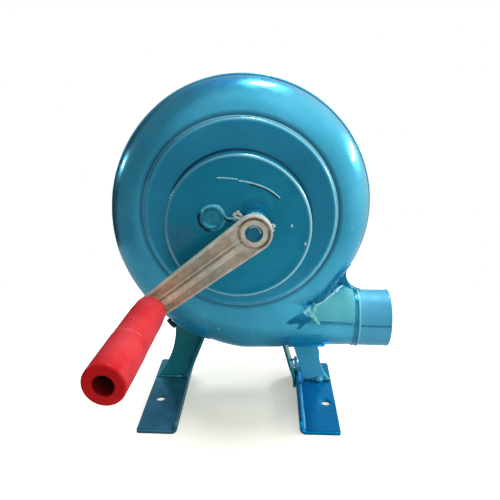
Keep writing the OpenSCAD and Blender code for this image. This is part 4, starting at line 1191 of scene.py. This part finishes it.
def surround():
    """A white backdrop for the eye, and for the object a dim room that brightens towards a wide window, with
    a dark corner low behind on the left and a bluer ceiling above it."""
    world = bpy.data.worlds.new("studio")
    bpy.context.scene.world = world
    world.use_nodes = True
    tree = world.node_tree
    way = add(tree, "TexCoord", out="Generated")

    def towards(azimuth, elevation, stops):
        """A ramp over how nearly a ray points that way."""
        near = add(tree, "VectorMath", DOT, "Value", _0=way, _1=heading(azimuth, elevation))
        return add(tree, "ValToRGB", {"stops": stops}, Fac=near)

    room = towards(100, 30, [(0.0, "#6f767a"), (0.5, "#c4cdd0"), (1.0, "#fbffff")])
    for how, tint in ((TINTED, towards(-135, -6, [(0.8, "#ffffff"), (0.93, "#50585c")])),
                      (TINTED, towards(-165, 58, [(0.8, "#ffffff"), (0.95, "#a4ccff")])),
                      (ADDED, towards(0, 42, [(0.7, "#000000"), (0.93, "#909ca0")])),
                      (ADDED, towards(0, -10, [(0.75, "#000000"), (0.95, "#60666a")]))):
        room = add(tree, "Mix", how, 2, _0=1.0, _6=room, _7=tint)
    lit = add(tree, "Background", Color=room, Strength=1.0)
    white = add(tree, "Background", Color=(1, 1, 1, 1), Strength=1.0)
    seen = add(tree, "LightPath", out="Is Camera Ray")
    mixed = add(tree, "MixShader", _0=seen, _1=lit, _2=white)
    tree.links.new(mixed, tree.nodes["World Output"].inputs["Surface"])


def floor():
    """A round sheet of white paper under the object. For the eye it glows, painted light: weakly and warmer
    near the object, fully towards its edge, so that it has no edge. For the object it does not glow and is
    greyer,
    darker on the left: painted shade."""
    mesh = bpy.data.meshes.new("floor")
    a, radius = np.linspace(0, 2 * np.pi, 96, endpoint=False), 340 * MM
    disc = np.column_stack([radius * np.cos(a), radius * np.sin(a), 0 * a])
    mesh.from_pydata(disc.tolist(), [], [list(range(len(a)))])
    ground = bpy.data.objects.new("floor", mesh)
    bpy.context.scene.collection.objects.link(ground)
    material, tree, shader = start("white_paper", Roughness=0.9)
    seen = add(tree, "LightPath", out="Is Camera Ray")
    spot = add(tree, "TexCoord", out="Object")
    across = add(tree, "MapRange", _0=add(tree, "SeparateXYZ", _0=spot), _1=-0.15, _2=0.15)
    grey = add(tree, "ValToRGB", {"stops": [(0.2, "#a8a8a6"), (0.8, "#d6d6d4")]}, Fac=across)
    reach = add(tree, "VectorMath", LENGTH, "Value", _0=spot)
    glow = add(tree, "MapRange", _0=reach, _1=0.04, _2=0.1, _3=0.34, _4=1.0)
    feed(shader, Base_Color=add(tree, "Mix", MIXED, 2, _0=seen, _6=grey, _7=(0.88, 0.85, 0.76, 1)),
         Emission_Color=add(tree, "ValToRGB", {"stops": [(0.04, "#fff8e4"), (0.1, "#fffff8")]}, Fac=reach),
         Emission_Strength=add(tree, "Math", TIMES, _0=seen, _1=glow))
    mesh.materials.append(material)


def soft_light(name, shines_on, azimuth, elevation, width, height, power):
    """A soft box one metre from the front-view spot (u, v, f) whose reflection it makes."""
    spot = Vector(place(*shines_on).tolist()) * MM
    data = bpy.data.lights.new(name, "AREA")
    data.shape = "ELLIPSE"
    data.size, data.size_y, data.energy = width, height, power
    lamp = bpy.data.objects.new(name, data)
    lamp.location = spot + heading(azimuth, elevation)
    lamp.rotation_euler = (-heading(azimuth, elevation)).to_track_quat("-Z", "Y").to_euler()
    bpy.context.scene.collection.objects.link(lamp)


def camera():
    """The eye: a little above the crank, looking down at the casing."""
    stands_at = (0.01678, -0.36836, 0.23339)
    yaw, pitch, roll = 0.0305, 0.313, -0.0096
    ahead = Vector((-math.sin(yaw) * math.cos(pitch), math.cos(yaw) * math.cos(pitch), -math.sin(pitch)))
    right = Vector((math.cos(yaw), math.sin(yaw), 0))
    down = ahead.cross(right)
    tilted = right * math.cos(roll) + down * math.sin(roll)
    up = right * math.sin(roll) - down * math.cos(roll)
    data = bpy.data.cameras.new("camera")
    data.sensor_width = 36
    data.lens = 40.118
    data.clip_start = 0.01
    eye = bpy.data.objects.new("camera", data)
    facing = Matrix((tilted, up, -ahead)).transposed().to_4x4()
    eye.matrix_world = Matrix.Translation(stands_at) @ facing
    bpy.context.scene.collection.objects.link(eye)
    bpy.context.scene.camera = eye


camera()
surround()
floor()
soft_light("ceiling_lamp", (15, 79, 16), 160, 66, 0.2, 0.36, 4.5)
soft_light("right_window", (69, 40, 17), 112, 16, 0.75, 0.1, 2.6)
soft_light("left_lamp", (-72.5, 33, 17), -117, 7.5, 0.16, 0.05, 0.45)
bpy.context.scene.view_settings.view_transform = "Standard"
